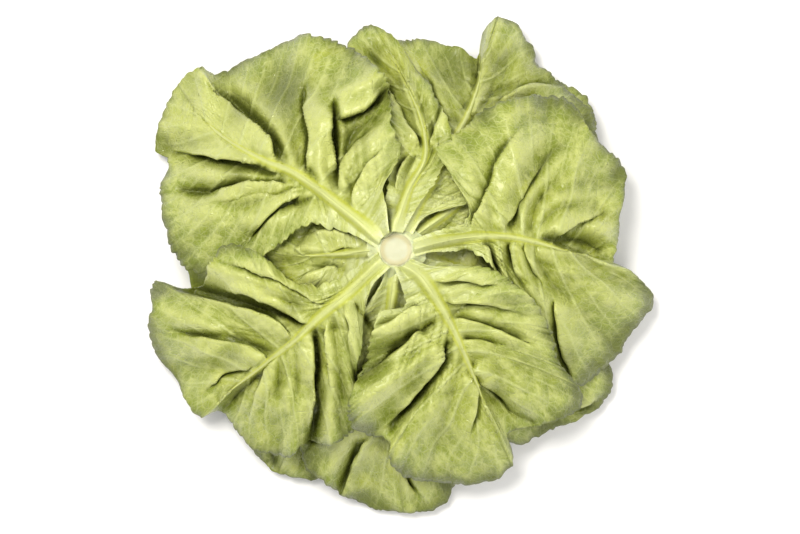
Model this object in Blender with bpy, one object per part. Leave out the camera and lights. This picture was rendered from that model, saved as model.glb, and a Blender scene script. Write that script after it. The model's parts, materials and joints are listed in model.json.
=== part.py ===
"""A butterhead lettuce lying on its crown, with the cut stem up: stem, sixteen loose leaves and the closed heart.

+Z is up, +X and +Y are right and away in the view from above. The origin is on the stem's line, on the surface that
the crown rests on. Plan points and heights below are in millimetres about that origin, and mesh points in metres.
Each leaf is a fan of veins: rows run from its midrib to its edge, from the foot of the leaf round to its tip, on a
left and a right side as seen from the stem. Leaves are laid from the heart outwards, each raised clear of the pile.
"""

import math

import bmesh
import bpy
import numpy as np
from mathutils import Matrix

MM = 0.001

# The stem that the knife cut.
STEM_TOP = 106.0
STEM_RADIUS = 9.5
STEM_SHOULDER = 94.0
STEM_GAP = 0.3
STEM_FOOT_RADIUS = 5.5
STEM_SIDES = 28

# The closed heart is a ball, pressed flat at its crown: half its width and height, and its middle's height.
HEART_HALF_WIDTH = 56.0
HEART_HALF_HEIGHT = 37.0
HEART_MIDDLE = 33.0
CORE_SHARE = 0.82
PRESS = 0.9
PRESS_BEND = 0.02
CROWN_PRESS = 0.45

# The blade's thickness, and the midrib at the leaf's foot and tip.
BLADE = 0.95
RIB_HEIGHT = (5.2, 0.5)
RIB_HALF_WIDTH = (5.4, 0.9)
FOOT_RADIUS = 10.3

# The mesh of a leaf: the widest gap between two rows as a share of the edge, and stations from rib to edge.
ROW_GAP = 0.075
SAME_FOLD = 0.022
TIP_ROOM = 0.06
STATIONS = 4
VEIN_SWEEP = 0.22
EVEN_VEINS = [(0, 0), (1, 1)]
FOLD_RISE = 0.75
RIB_SINK = 3.0
LOWEST = 6.0
LOW_BEND = 3.0

# The pile's height map, and the air kept between two leaves.
CELL = 1.5
PILE_REACH = 165.0
AIR = 1.1
BALL_AIR = 1.3
BESIDE_STEM = 26.0
CLEAR_STEPS = 8
LIFT_SPREAD = 0.7
EMPTY = -1000.0

# How each whorl falls away from the stem: height at the stem, drop, the reach at which it has dropped, and power.
OUTER_FALL = (104.0, 82.0, 140.0, 1.9)
MIDDLE_FALL = (93.0, 78.0, 138.0, 1.75)
INNER_FALL = (86.0, 60.0, 100.0, 1.9)

# Bearing of the foot in degrees, half the angle that the foot takes round the stem, midrib, tip, edges and folds.
# A fold is (share of the way along the edge from foot to tip, height): ridges are up and valleys down.
# The leaves are in the order that they lie in, the undermost first.
LEAVES = {
    "middle_leaf_back_right": {
        "bearing": 35, "half_foot": 25, "fall": MIDDLE_FALL, "lift": -4,
        "rib": [(28, 20), (50, 38), (70, 56), (86, 70)], "tip": (106, 86),
        "left": [(16, 22), (30, 44), (48, 66), (62, 84), (78, 94), (94, 93)],
        "right": [(26, 8), (56, 16), (86, 30), (106, 46), (112, 62), (110, 76)],
        "folds_left": [(0, 0), (0.25, 4), (0.45, -5), (0.65, 5), (0.85, -4), (1, 4)],
        "folds_right": [(0, 0), (0.2, -4), (0.4, 5), (0.6, -5), (0.8, 5), (1, 3)],
    },
    "middle_leaf_front_left": {
        "bearing": 236, "half_foot": 15, "fall": MIDDLE_FALL, "lift": -8,
        "rib": [(-18, -30), (-34, -58), (-46, -82), (-56, -102)], "tip": (-66, -125),
        "left": [(-8, -24), (-16, -52), (-26, -84), (-34, -112), (-44, -128), (-56, -128)],
        "right": [(-22, -18), (-46, -42), (-68, -68), (-80, -94), (-80, -110), (-74, -120)],
        "folds_left": [(0, 0), (0.25, 4), (0.5, -5), (0.72, 5), (0.88, -3), (1, 3)],
        "folds_right": [(0, 0), (0.25, -4), (0.5, 5), (0.72, -5), (0.88, 4), (1, 3)],
    },
    "middle_leaf_front": {
        "bearing": 266, "half_foot": 25, "fall": MIDDLE_FALL, "lift": 0,
        "rib": [(-3, -32), (-7, -60), (-6, -88), (-1, -114)], "tip": (5, -148),
        "left": [(8, -22), (20, -50), (32, -82), (36, -108), (32, -132), (22, -145)],
        "right": [(-10, -22), (-26, -46), (-42, -74), (-52, -100), (-50, -120), (-34, -133), (-14, -144)],
        "folds_left": [(0, 0), (0.2, 4), (0.4, -5), (0.6, 6), (0.8, -8), (0.92, 2), (1, 3)],
        "folds_right": [(0, 0), (0.2, -4), (0.4, 5), (0.58, -7), (0.75, 7), (0.9, -4), (1, 3)],
    },
    "middle_leaf_front_right": {
        "bearing": 322, "half_foot": 26, "fall": MIDDLE_FALL, "lift": -2,
        "rib": [(26, -22), (48, -42), (68, -58), (88, -70)], "tip": (113, -88),
        "left": [(22, -6), (50, -14), (84, -32), (108, -50), (119, -64), (120, -78)],
        "right": [(14, -24), (26, -52), (42, -82), (56, -100), (68, -108), (84, -102), (102, -95)],
        "folds_left": [(0, 0), (0.2, 4), (0.38, -5), (0.56, 5), (0.76, -6), (0.9, 4), (1, 4)],
        "folds_right": [(0, 0), (0.2, -4), (0.38, 5), (0.56, -5), (0.74, 3), (0.88, -4), (1, 4)],
    },
    "middle_leaf_left": {
        "bearing": 181, "half_foot": 26, "fall": MIDDLE_FALL, "lift": 2,
        "rib": [(-26, -2), (-40, -3), (-54, -3)], "tip": (-73, 2),
        "left": [(-18, -12), (-30, -22), (-44, -24), (-58, -16), (-69, -7)],
        "right": [(-18, 11), (-32, 22), (-50, 28), (-64, 20), (-72, 11)],
        "folds_left": [(0, 0), (0.25, 4), (0.45, -5), (0.65, 5), (0.85, -3), (1, 3)],
        "folds_right": [(0, 0), (0.2, -4), (0.4, 4), (0.6, -4), (0.8, 5), (1, 3)],
    },
    "outer_leaf_back": {
        "bearing": 63, "half_foot": 25, "fall": OUTER_FALL, "lift": -9,
        "rib": [(13, 27), (21, 41), (30, 57), (38, 71), (44, 86), (49, 106)], "tip": (57, 131),
        "left": [(2, 24), (-2, 38), (-2, 52), (-3, 68), (-7, 86), (-12, 102), (-6, 114), (12, 117), (32, 112),
                 (45, 108), (49, 122)],
        "right": [(16, 18), (34, 24), (62, 32), (90, 44), (106, 58), (111, 68), (105, 81), (94, 91), (80, 102),
                  (75, 114), (67, 127)],
        "folds_left": [(0, 0), (0.12, 3), (0.22, -5), (0.32, 6), (0.45, -8), (0.6, -2), (0.72, -9), (0.82, -3),
                       (0.92, -14), (1, 4)],
        "folds_right": [(0, 0), (0.2, 3), (0.4, -2), (0.55, 3), (0.7, 4), (0.84, -6), (0.94, 8), (1, 6)],
    },
    "middle_leaf_back": {
        "bearing": 92, "half_foot": 25, "fall": MIDDLE_FALL, "lift": 3,
        "rib": [(7, 32), (16, 50), (14, 70), (6, 90), (-2, 106)], "tip": (-13, 124),
        "left": [(-5, 26), (-2, 46), (-2, 64), (-8, 86), (-20, 100), (-28, 112), (-20, 121)],
        "right": [(12, 24), (24, 44), (30, 60), (25, 76), (17, 92), (8, 104), (-2, 118)],
        "folds_left": [(0, 0), (0.3, -2), (0.5, -6), (0.68, -10), (0.85, 5), (1, 4)],
        "folds_right": [(0, 0), (0.3, 3), (0.55, 7), (0.75, -5), (0.9, 5), (1, 4)],
    },
    "outer_leaf_back_left": {
        "bearing": 144, "half_foot": 33, "fall": OUTER_FALL, "lift": 0,
        "rib": [(-31, 24), (-54, 41), (-72, 49), (-92, 60), (-110, 75)], "tip": (-122, 93),
        "left": [(-25, 9), (-48, 15), (-66, 2), (-84, -8), (-101, -13), (-117, -8), (-128, 12), (-131, 33),
                 (-127, 49), (-135, 58), (-131, 76)],
        "right": [(-5, 22), (-7, 34), (1, 50), (-3, 68), (-5, 88), (-14, 101), (-28, 112), (-48, 119), (-68, 113),
                  (-86, 106), (-101, 98), (-110, 102)],
        "veins_left": [(0, 0), (0.34, 0.165), (1, 1)],
        "folds_left": [(0, 0), (0.16, 1), (0.27, -6), (0.37, 5), (0.48, -5), (0.6, 5), (0.7, 1), (0.82, -15),
                       (0.9, 7), (1, 8)],
        "folds_right": [(0, 0), (0.12, 3), (0.25, 8), (0.35, -13), (0.46, 11), (0.52, 3), (0.6, 12), (0.74, -7),
                        (0.87, -17), (0.94, 9), (1, 8)],
    },
    "outer_leaf_right": {
        "bearing": 4, "half_foot": 29, "fall": OUTER_FALL, "lift": 0,
        "rib": [(28, 5), (44, 7), (60, 7), (76, 4), (92, -1), (106, -5)], "tip": (120, -7),
        "left": [(22, 10), (36, 13), (40, 22), (31, 39), (24, 52), (32, 61), (45, 73), (60, 81), (81, 84), (99, 80),
                 (107, 66), (122, 50), (128, 41), (124, 20), (123, 4)],
        "right": [(22, -1), (44, -2), (56, -14), (68, -34), (82, -58), (96, -72), (106, -74), (122, -59), (132, -47),
                  (140, -35), (143, -25), (132, -13)],
        "veins_left": [(0, 0), (0.31, 0.1), (0.53, 0.36), (1, 1)],
        "veins_right": [(0, 0), (0.33, 0.15), (1, 1)],
        "folds_left": [(0, 0), (0.16, 0), (0.27, 4), (0.37, 0), (0.46, 6), (0.57, -7), (0.68, 7), (0.8, 0),
                       (0.9, 8), (0.96, -9), (1, -10)],
        "folds_right": [(0, 0), (0.13, 0), (0.2, 9), (0.245, -7), (0.29, 9), (0.36, -8), (0.45, 4), (0.58, 0),
                        (0.7, -6), (0.8, 5), (0.88, -2), (0.95, 6), (1, -8)],
    },
    "outer_leaf_front_left": {
        "bearing": 220, "half_foot": 33, "fall": OUTER_FALL, "lift": 0,
        "rib": [(-25, -23), (-42, -37), (-57, -51), (-75, -65), (-92, -78)], "tip": (-108, -93),
        "left": [(-13, -20), (-17, -34), (-19, -50), (-22, -68), (-21, -88), (-25, -100), (-37, -107), (-50, -106),
                 (-60, -114), (-78, -110), (-88, -101), (-97, -89)],
        "right": [(-24, -12), (-38, -20), (-55, -18), (-68, -8), (-80, 0), (-91, 2), (-100, -7), (-105, -19),
                  (-118, -22), (-134, -18), (-136, -32), (-137, -48), (-131, -61), (-124, -70), (-114, -88)],
        "veins_right": [(0, 0), (0.3, 0.136), (0.45, 0.27), (1, 1)],
        "folds_left": [(0, 0), (0.14, -3), (0.25, 6), (0.34, -8), (0.44, 8), (0.54, 6), (0.62, -14), (0.7, 8),
                       (0.8, 6), (0.88, -5), (0.95, -12), (1, 5)],
        "folds_right": [(0, 0), (0.13, -2), (0.24, 4), (0.36, -2), (0.46, 7), (0.56, -15), (0.64, -10), (0.7, 9),
                        (0.78, 3), (0.85, -8), (0.93, 4), (1, 5)],
    },
    "outer_leaf_front_right": {
        "bearing": 297, "half_foot": 33, "fall": OUTER_FALL, "lift": 0,
        "rib": [(13, -14), (22, -27), (30, -41), (37, -56), (44, -73), (49, -86)], "tip": (65, -120),
        "left": [(20, -9), (36, -9), (49, -11), (64, -19), (75, -29), (83, -45), (88, -60), (96, -70), (104, -82),
                 (98, -90), (80, -96), (62, -101), (64, -110)],
        "right": [(3, -20), (5, -31), (-8, -34), (-12, -46), (-15, -60), (-24, -78), (-25, -92), (-15, -100),
                  (-3, -105), (-3, -115), (7, -126), (28, -130), (50, -129)],
        "veins_right": [(0, 0), (0.24, 0.1), (0.4, 0.29), (1, 1)],
        "folds_left": [(0, 0), (0.14, 3), (0.25, -4), (0.35, 5), (0.45, -3), (0.56, 6), (0.66, 3), (0.78, 8),
                       (0.88, -10), (0.95, -4), (1, 4)],
        "folds_right": [(0, 0), (0.1, 0), (0.2, 6), (0.29, -9), (0.36, 3), (0.44, 9), (0.54, -13), (0.62, 3),
                        (0.7, 6), (0.8, -2), (0.9, 5), (1, 3)],
    },
}

# The inner whorl cups the heart. Its leaves share one outline, turned and sized for each: bearing, size, lean.
INNER_WHORL = [(200, 1.08, 0.0006), (128, 0.98, -0.0008), (56, 1.03, 0.0007), (344, 0.97, -0.0006),
               (272, 1.02, 0.0008)]
INNER_RIB = [(26, 0), (44, 0), (60, 0), (78, 0)]
INNER_TIP = (103, 0)
INNER_EDGE = [(20, 12), (34, 32), (50, 52), (68, 64), (86, 58), (98, 34)]
INNER_FOLDS = [(0, 0), (0.16, 3), (0.3, -4), (0.42, 4), (0.54, -5), (0.66, 5), (0.78, -5), (0.9, 5), (1, -2)]

# Leaves of the heart, inmost first: bearing of the foot, how far past the crown the tip ends in degrees, half
# width in degrees, and how far out of the ball the leaf lies as a share. The first few are one with the core.
CORE_LEAVES = [(30, 16, 58, 0.825), (210, 20, 58, 0.825)]
HEART_LEAVES = [(105, 4, 60, 0.9), (285, 2, 60, 0.92), (0, 6, 56, 0.94), (165, 4, 54, 0.96), (75, 8, 50, 0.98),
                (245, 15, 52, 1.0)]
HEART_FOOT_ANGLE = 169.0
HEART_ROWS = 12
HEART_COLUMNS = 8
HEART_WAVE = 1.1
HEART_FLARE = 2.4
CORE_SIDES = 20
CORE_ROOT = 4.0

# Colours of the finishes.
LEAF_GREEN = (0.36, 0.52, 0.10)
PALE_GREEN = (0.56, 0.68, 0.22)
HEART_YELLOW = (0.72, 0.76, 0.34)
STEM_CREAM = (0.84, 0.80, 0.58)

BALL_MIDDLE = np.array([0, 0, HEART_MIDDLE])
BALL_SHAPE = np.array([1, 1, HEART_HALF_HEIGHT / HEART_HALF_WIDTH])


def clear_scene():
    for obj in list(bpy.data.objects):
        bpy.data.objects.remove(obj)


def material(name, colour, roughness):
    made = bpy.data.materials.new(name)
    made.use_nodes = True
    shader = made.node_tree.nodes["Principled BSDF"]
    shader.inputs["Base Color"].default_value = (*colour, 1)
    shader.inputs["Roughness"].default_value = roughness
    shader.inputs["Metallic"].default_value = 0
    return made


def polar(radius, bearing):
    angle = math.radians(bearing)
    return (radius * math.cos(angle), radius * math.sin(angle))


def smooth_line(points, shares):
    """Points at these shares of the length of a smooth line through the given points."""
    points = np.asarray(points, float)
    ends = np.vstack([2 * points[0] - points[1], points, 2 * points[-1] - points[-2]])
    u = np.linspace(0, 1, 12, endpoint=False)[:, None]
    runs = [
        0.5 * (2 * b + (c - a) * u + (2 * a - 5 * b + 4 * c - d) * u**2 + (3 * b - a - 3 * c + d) * u**3)
        for a, b, c, d in zip(ends, ends[1:], ends[2:], ends[3:])
    ]
    line = np.vstack([*runs, points[-1:]])
    length = np.concatenate([[0], np.cumsum(np.linalg.norm(np.diff(line, axis=0), axis=1))])
    return np.column_stack([np.interp(shares * length[-1], length, line[:, k]) for k in (0, 1)])


def eased(shares, knots):
    """Heights at these shares, rounded over each ridge and through each valley."""
    at, height = np.array(knots, float).T
    place = np.clip(np.searchsorted(at, shares, side="right") - 1, 0, len(at) - 2)
    part = (shares - at[place]) / (at[place + 1] - at[place])
    return height[place] + (height[place + 1] - height[place]) * (0.5 - 0.5 * np.cos(np.pi * np.clip(part, 0, 1)))


def taper(ends, share):
    """From the first of the ends to the second as share goes from 0 to 1, thinning early as a midrib does."""
    return ends[1] + (ends[0] - ends[1]) * (1 - share) ** 1.35


def edge_shares(leaf, side, along):
    """Share of the edge that a vein from each share of the midrib runs to."""
    return np.interp(along, *np.array(leaf.get("veins_" + side, EVEN_VEINS), float).T)


def row_shares(leaf):
    """Shares of the midrib where veins leave it: for each fold of either side, and between folds far apart."""
    knots = []
    for side in ("left", "right"):
        rib_share, edge_share = np.array(leaf.get("veins_" + side, EVEN_VEINS), float).T
        knots += np.interp([share for share, _ in leaf["folds_" + side]], edge_share, rib_share).tolist()
    kept = [0.0]
    for share in sorted(knots):
        if share - kept[-1] > SAME_FOLD:
            kept.append(share)
    kept = [share for share in kept if share < 1 - TIP_ROOM] + [1.0]
    rows = [0.0]
    for start, end in zip(kept, kept[1:]):
        steps = math.ceil((end - start) / ROW_GAP)
        rows += [start + (end - start) * k / steps for k in range(1, steps + 1)]
    return np.array(rows)


def vein_fan(rib, edge, along, edge_share, stations):
    """One side of a leaf in plan, a row of points for each vein, and each point's share of the way to the edge."""
    start = smooth_line(rib, along)
    end = smooth_line(edge, edge_share)
    reach = end - start
    length = np.maximum(np.linalg.norm(reach, axis=1), 1e-6)
    beside_rib = np.clip(taper(RIB_HALF_WIDTH, along) / length, 0, 0.6)[:, None]
    share = beside_rib + (1 - beside_rib) * np.linspace(0, 1, stations + 1)
    share = np.column_stack([np.zeros(len(along)), share])
    forward = np.gradient(start, axis=0)
    forward /= np.maximum(np.linalg.norm(forward, axis=1, keepdims=True), 1e-6)
    ahead = (reach * forward).sum(axis=1, keepdims=True)
    bend = start + 0.5 * reach - VEIN_SWEEP * ahead * forward
    t = share[..., None]
    points = (1 - t) ** 2 * start[:, None] + 2 * t * (1 - t) * bend[:, None] + t**2 * end[:, None]
    return points, share


def side_indices(rows, columns):
    """Vertex numbers of the two sides, which share the midrib and the vein that runs to the tip."""
    left = np.arange(rows * columns).reshape(rows, columns)
    right = left.copy()
    right[:-1, 1:] = left.size + np.arange((rows - 1) * (columns - 1)).reshape(rows - 1, columns - 1)
    return left, right


def grid_triangles(index):
    a, b, c, d = index[:-1, :-1], index[1:, :-1], index[1:, 1:], index[:-1, 1:]
    return np.vstack([np.dstack([a, b, c]).reshape(-1, 3), np.dstack([a, c, d]).reshape(-1, 3)])


def held_up(height):
    """Heights with the low ones bent up smoothly, so that no leaf droops to the surface beneath the crown."""
    return LOWEST + LOW_BEND * np.logaddexp(0, (height - LOWEST) / LOW_BEND)


def leaf_surface(leaf, stations):
    """Middle surface of a leaf before it is laid on the pile: points, rise of the midrib, triangles."""
    along = row_shares(leaf)
    left, right = side_indices(len(along), stations + 2)
    surface = np.zeros((right.max() + 1, 3))
    rise = np.zeros(len(surface))
    rib = [polar(FOOT_RADIUS, leaf["bearing"]), *leaf["rib"]]
    top, drop, reach, power = leaf["fall"]
    for side, turn, index in (("left", 1, left), ("right", -1, right)):
        corner = polar(FOOT_RADIUS, leaf["bearing"] + turn * leaf["half_foot"])
        edge_share = edge_shares(leaf, side, along)
        plan, across = vein_fan(rib, [corner, *leaf[side], leaf["tip"]], along, edge_share, stations)
        fold = eased(edge_share, leaf["folds_" + side])[:, None] * across**FOLD_RISE
        sink = RIB_SINK * (1 - np.exp(-across / 0.12)) * np.sin(np.pi * along)[:, None]
        fallen = drop * (np.linalg.norm(plan, axis=-1) / reach) ** power
        height = top - fallen + leaf["lift"] + fold - sink
        surface[index] = np.dstack([plan, held_up(height)])
        rise[index[:, 0]] = taper(RIB_HEIGHT, along)
    return surface, rise, outward(surface, np.vstack([grid_triangles(left), grid_triangles(right)[:, ::-1]]))


def facing(points, triangles):
    a, b, c = (points[triangles[:, k]] for k in range(3))
    return np.cross(b - a, c - a)


def outward(points, triangles, centre=(0, 0, -1000)):
    """The triangles, turned so that they face away from the centre."""
    away = points[triangles[:, 0]] - np.array(centre, float)
    return triangles[:, ::-1] if (facing(points, triangles) * away).sum() < 0 else triangles


def point_normals(points, triangles):
    normals = np.zeros_like(points)
    for k in range(3):
        np.add.at(normals, triangles[:, k], facing(points, triangles))
    return normals / np.maximum(np.linalg.norm(normals, axis=1, keepdims=True), 1e-9)


def thickened(points, triangles, above, below):
    """Closed solid round a surface: its points moved out by above and in by below along their normals."""
    normals = point_normals(points, triangles)
    solid = np.vstack([points + normals * above[:, None], points - normals * below[:, None]])
    count = len(points)
    edges = np.vstack([triangles[:, [0, 1]], triangles[:, [1, 2]], triangles[:, [2, 0]]]).tolist()
    known = {tuple(edge) for edge in edges}
    a, b = np.array([edge for edge in edges if (edge[1], edge[0]) not in known]).T
    walls = np.vstack([np.column_stack([b, a, a + count]), np.column_stack([b, a + count, b + count])])
    return solid, np.vstack([triangles, triangles[:, ::-1] + count, walls])


def spread_over(points, triangles, splits):
    """Points spread evenly over each triangle."""
    steps = [(i, j) for i in range(splits + 1) for j in range(splits + 1 - i)]
    weights = np.array([(i, j, splits - i - j) for i, j in steps], float) / splits
    return np.einsum("wk,tkx->twx", weights, points[triangles])


def as_it_lies(points):
    return points


def pressed(down):
    """How far down a direction of the ball reaches, with the crown pressed flat."""
    return down - PRESS_BEND * np.logaddexp(0, (down - PRESS) / PRESS_BEND)


ANGLES = np.radians(np.linspace(0, 180, 361))
PRESSED_ANGLES = np.arctan2(np.sin(ANGLES), pressed(np.cos(ANGLES)))
PRESSED_REACH = np.hypot(np.sin(ANGLES), pressed(np.cos(ANGLES)))


def ball_bearings(points):
    """Points as seen from the heart's middle: two angles from the crown in degrees, and how far out they lie."""
    spread = (points - BALL_MIDDLE) / BALL_SHAPE
    seen = np.arctan2(np.linalg.norm(spread[..., :2], axis=-1), -spread[..., 2])
    angle = np.interp(seen, PRESSED_ANGLES, ANGLES)
    reach = np.linalg.norm(spread, axis=-1) / np.interp(angle, ANGLES, PRESSED_REACH)
    turn = np.arctan2(spread[..., 1], spread[..., 0])
    angle = np.degrees(angle)
    return np.stack([angle * np.cos(turn), angle * np.sin(turn), reach], axis=-1)


def ball_points(bearings):
    angle = np.radians(np.linalg.norm(bearings[..., :2], axis=-1))
    turn = np.arctan2(bearings[..., 1], bearings[..., 0])
    direction = [np.sin(angle) * np.cos(turn), np.sin(angle) * np.sin(turn), -pressed(np.cos(angle))]
    return np.stack(direction, axis=-1) * bearings[..., 2:] * BALL_SHAPE + BALL_MIDDLE


BALL_MAP = (182, 2, ball_bearings, ball_points)


class Pile:
    """How far out the leaves laid so far come, in each cell of a map."""

    def __init__(self, reach, cell, to_map, from_map):
        cells = int(2 * reach / cell)
        self.outermost = np.full((cells, cells), EMPTY)
        self.reach = reach
        self.cell = cell
        self.to_map = to_map
        self.from_map = from_map

    def cells_of(self, mapped):
        cells = ((mapped[..., :2] + self.reach) / self.cell).astype(int)
        return np.clip(cells, 0, len(self.outermost) - 1)

    def add(self, points, triangles):
        mapped = self.to_map(spread_over(points, triangles, 10)).reshape(-1, 3)
        where = self.cells_of(mapped)
        np.maximum.at(self.outermost, (where[:, 0], where[:, 1]), mapped[:, 2])

    def widened(self, steps):
        """The map with each cell taking the outermost of the cells within this many steps."""
        top = self.outermost
        for _ in range(steps):
            grown = top
            for shift, axis in ((1, 0), (-1, 0), (1, 1), (-1, 1)):
                grown = np.maximum(grown, np.roll(top, shift, axis))
            top = grown
        return top

    def clear(self, points, triangles, air):
        """The surface moved out wherever it would come nearer to the pile than the air, with its own half blade."""
        mapped = self.to_map(points).copy()
        near, wide = self.widened(1), self.widened(2)
        for _ in range(CLEAR_STEPS):
            samples = spread_over(self.from_map(mapped), triangles, 6)
            beside_stem = np.linalg.norm(samples[..., :2], axis=-1) < BESIDE_STEM
            samples = self.to_map(samples)
            where = self.cells_of(samples)
            top = np.where(beside_stem, near[where[..., 0], where[..., 1]], wide[where[..., 0], where[..., 1]])
            short = np.clip((top + BLADE / 2 + air - samples[..., 2]).max(axis=1), 0, None)
            lift = np.zeros(len(mapped))
            for k in range(3):
                np.maximum.at(lift, triangles[:, k], short)
            if lift.max() < 0.02:
                break
            beside = lift[triangles].mean(axis=1)
            for k in range(3):
                np.maximum.at(lift, triangles[:, k], LIFT_SPREAD * beside)
            mapped[:, 2] += lift
        return self.from_map(mapped)


def mesh_object(name, points, faces, finish):
    mesh = bpy.data.meshes.new(name)
    mesh.from_pydata((points * MM).tolist(), [], faces.tolist())
    mesh.materials.append(finish)
    mesh.shade_smooth()
    mesh.set_sharp_from_angle(angle=math.radians(50))
    obj = bpy.data.objects.new(name, mesh)
    bpy.context.scene.collection.objects.link(obj)
    return obj


def build_leaf(name, leaf, pile, finish):
    surface, rise, triangles = leaf_surface(leaf, STATIONS)
    surface = pile.clear(surface, triangles, AIR)
    half = np.full(len(surface), BLADE / 2)
    solid, faces = thickened(surface, triangles, half + rise, half)
    pile.add(solid, faces)
    return mesh_object(name, solid, faces, finish)


def inner_leaf(bearing, size, lean):
    """A leaf of the inner whorl: the shared outline turned to its bearing, with its midrib leaning to one side."""
    turn = math.radians(bearing)

    def turned(point, side):
        x = point[0] * size
        y = point[1] * size * side + x * x * lean
        return (x * math.cos(turn) - y * math.sin(turn), x * math.sin(turn) + y * math.cos(turn))

    return {
        "bearing": bearing, "half_foot": 33, "fall": INNER_FALL, "lift": 0,
        "rib": [turned(p, 1) for p in INNER_RIB], "tip": turned(INNER_TIP, 1),
        "left": [turned(p, 1) for p in INNER_EDGE], "right": [turned(p, -1) for p in INNER_EDGE],
        "folds_left": INNER_FOLDS, "folds_right": [(share, -height) for share, height in INNER_FOLDS],
    }


def heart_leaf(bearing, past_crown, half_width, share):
    """Middle surface of a cupped leaf that runs from beside the stem, down the ball's side and over its crown."""
    along = np.linspace(0, 1, HEART_ROWS + 1)[:, None]
    across = np.linspace(-1, 1, HEART_COLUMNS + 1)[None, :]
    width = np.radians(half_width) * (0.16 + 0.84 * np.sin(0.84 * np.pi * along**1.1) ** 0.8)
    rounding = 1 - 0.14 * across**2 * along**3
    angle = np.radians(HEART_FOOT_ANGLE - (HEART_FOOT_ANGLE + past_crown) * along * rounding)
    turn = math.radians(bearing)
    out_from_stem = np.array([math.cos(turn), math.sin(turn), 0])
    sideways = np.array([-math.sin(turn), math.cos(turn), 0])
    down_middle = np.sin(angle)[..., None] * out_from_stem - np.cos(angle)[..., None] * np.array([0, 0, 1])
    turned = width * across
    direction = np.cos(turned)[..., None] * down_middle + np.sin(turned)[..., None] * sideways
    from_crown = np.degrees(np.arccos(np.clip(-direction[..., 2], -1, 1)))
    heading = np.arctan2(direction[..., 1], direction[..., 0])
    wave = HEART_WAVE * np.sin(across * 8 + along * 5 + bearing) * across**2 * along
    flare = HEART_FLARE * np.maximum(across**4, along**8)
    off_the_flat = np.clip((from_crown - 25) / 20, 0, 1)
    reach = HEART_HALF_WIDTH * share + (wave + flare) * off_the_flat
    bearings = np.stack([from_crown * np.cos(heading), from_crown * np.sin(heading), reach], axis=-1)
    index = np.arange((HEART_ROWS + 1) * (HEART_COLUMNS + 1)).reshape(HEART_ROWS + 1, HEART_COLUMNS + 1)
    points = ball_points(bearings).reshape(-1, 3)
    rim = np.maximum(across**2, along**4).ravel()
    return points, outward(points, grid_triangles(index), BALL_MIDDLE), rim


def build_heart_leaf(name, leaf, pile, finish, outermost=False, root=0):
    surface, triangles, rim = heart_leaf(*leaf)
    surface = pile.clear(surface, triangles, BALL_AIR)
    if outermost:
        surface[:, 2] = np.maximum(surface[:, 2], surface[:, 2].min() + CROWN_PRESS)
    half = np.full(len(surface), BLADE / 2)
    solid, faces = thickened(surface, triangles, half, half + root * (1 - rim))
    if outermost:
        solid[:, 2] = np.maximum(solid[:, 2], solid[:, 2].min() + 0.1 * BLADE)
    pile.add(solid, faces)
    return mesh_object(name, solid, faces, finish)


def object_triangles(obj):
    obj.data.calc_loop_triangles()
    points = np.array([vertex.co for vertex in obj.data.vertices]) / MM
    return points, np.array([triangle.vertices for triangle in obj.data.loop_triangles])


def fill_pockets(mesh):
    """Close the pockets sealed inside a body: only its outer skin, its largest run of joined points, stays."""
    bm = bmesh.new()
    bm.from_mesh(mesh)
    left = set(bm.verts)
    skins = []
    while left:
        skin = set()
        reached = [left.pop()]
        while reached:
            vertex = reached.pop()
            skin.add(vertex)
            joined = {edge.other_vert(vertex) for edge in vertex.link_edges} & left
            left -= joined
            reached.extend(joined)
        skins.append(skin)
    skins.sort(key=len)
    for skin in skins[:-1]:
        bmesh.ops.delete(bm, geom=list(skin), context="VERTS")
    bm.to_mesh(mesh)
    bm.free()


def build_core(pile, finish):
    """The packed middle of the head, with the tightest leaves standing out of it as one body."""
    bm = bmesh.new()
    bmesh.ops.create_uvsphere(bm, u_segments=CORE_SIDES, v_segments=CORE_SIDES // 2, radius=1)
    bmesh.ops.triangulate(bm, faces=bm.faces)
    mesh = bpy.data.meshes.new("heart")
    bm.to_mesh(mesh)
    bm.free()
    for vertex in mesh.vertices:
        across, deep, up = vertex.co
        point = np.array([across, deep, -pressed(-up)]) * HEART_HALF_WIDTH * CORE_SHARE
        vertex.co = (point * BALL_SHAPE + BALL_MIDDLE) * MM
    mesh.materials.append(finish)
    heart = bpy.data.objects.new("heart", mesh)
    bpy.context.scene.collection.objects.link(heart)
    alone = Pile(*BALL_MAP)
    for number, leaf in enumerate(CORE_LEAVES):
        blade = build_heart_leaf(f"core_leaf_{number}", leaf, alone, finish, root=CORE_ROOT)
        union = heart.modifiers.new("leaf", "BOOLEAN")
        union.operation = "UNION"
        union.solver = "MANIFOLD"
        union.object = blade
        bpy.context.view_layer.update()
        joined = bpy.data.meshes.new_from_object(heart.evaluated_get(bpy.context.evaluated_depsgraph_get()))
        heart.modifiers.clear()
        heart.data = joined
        bpy.data.objects.remove(blade)
    fill_pockets(heart.data)
    pile.add(*object_triangles(heart))
    return heart


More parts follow.
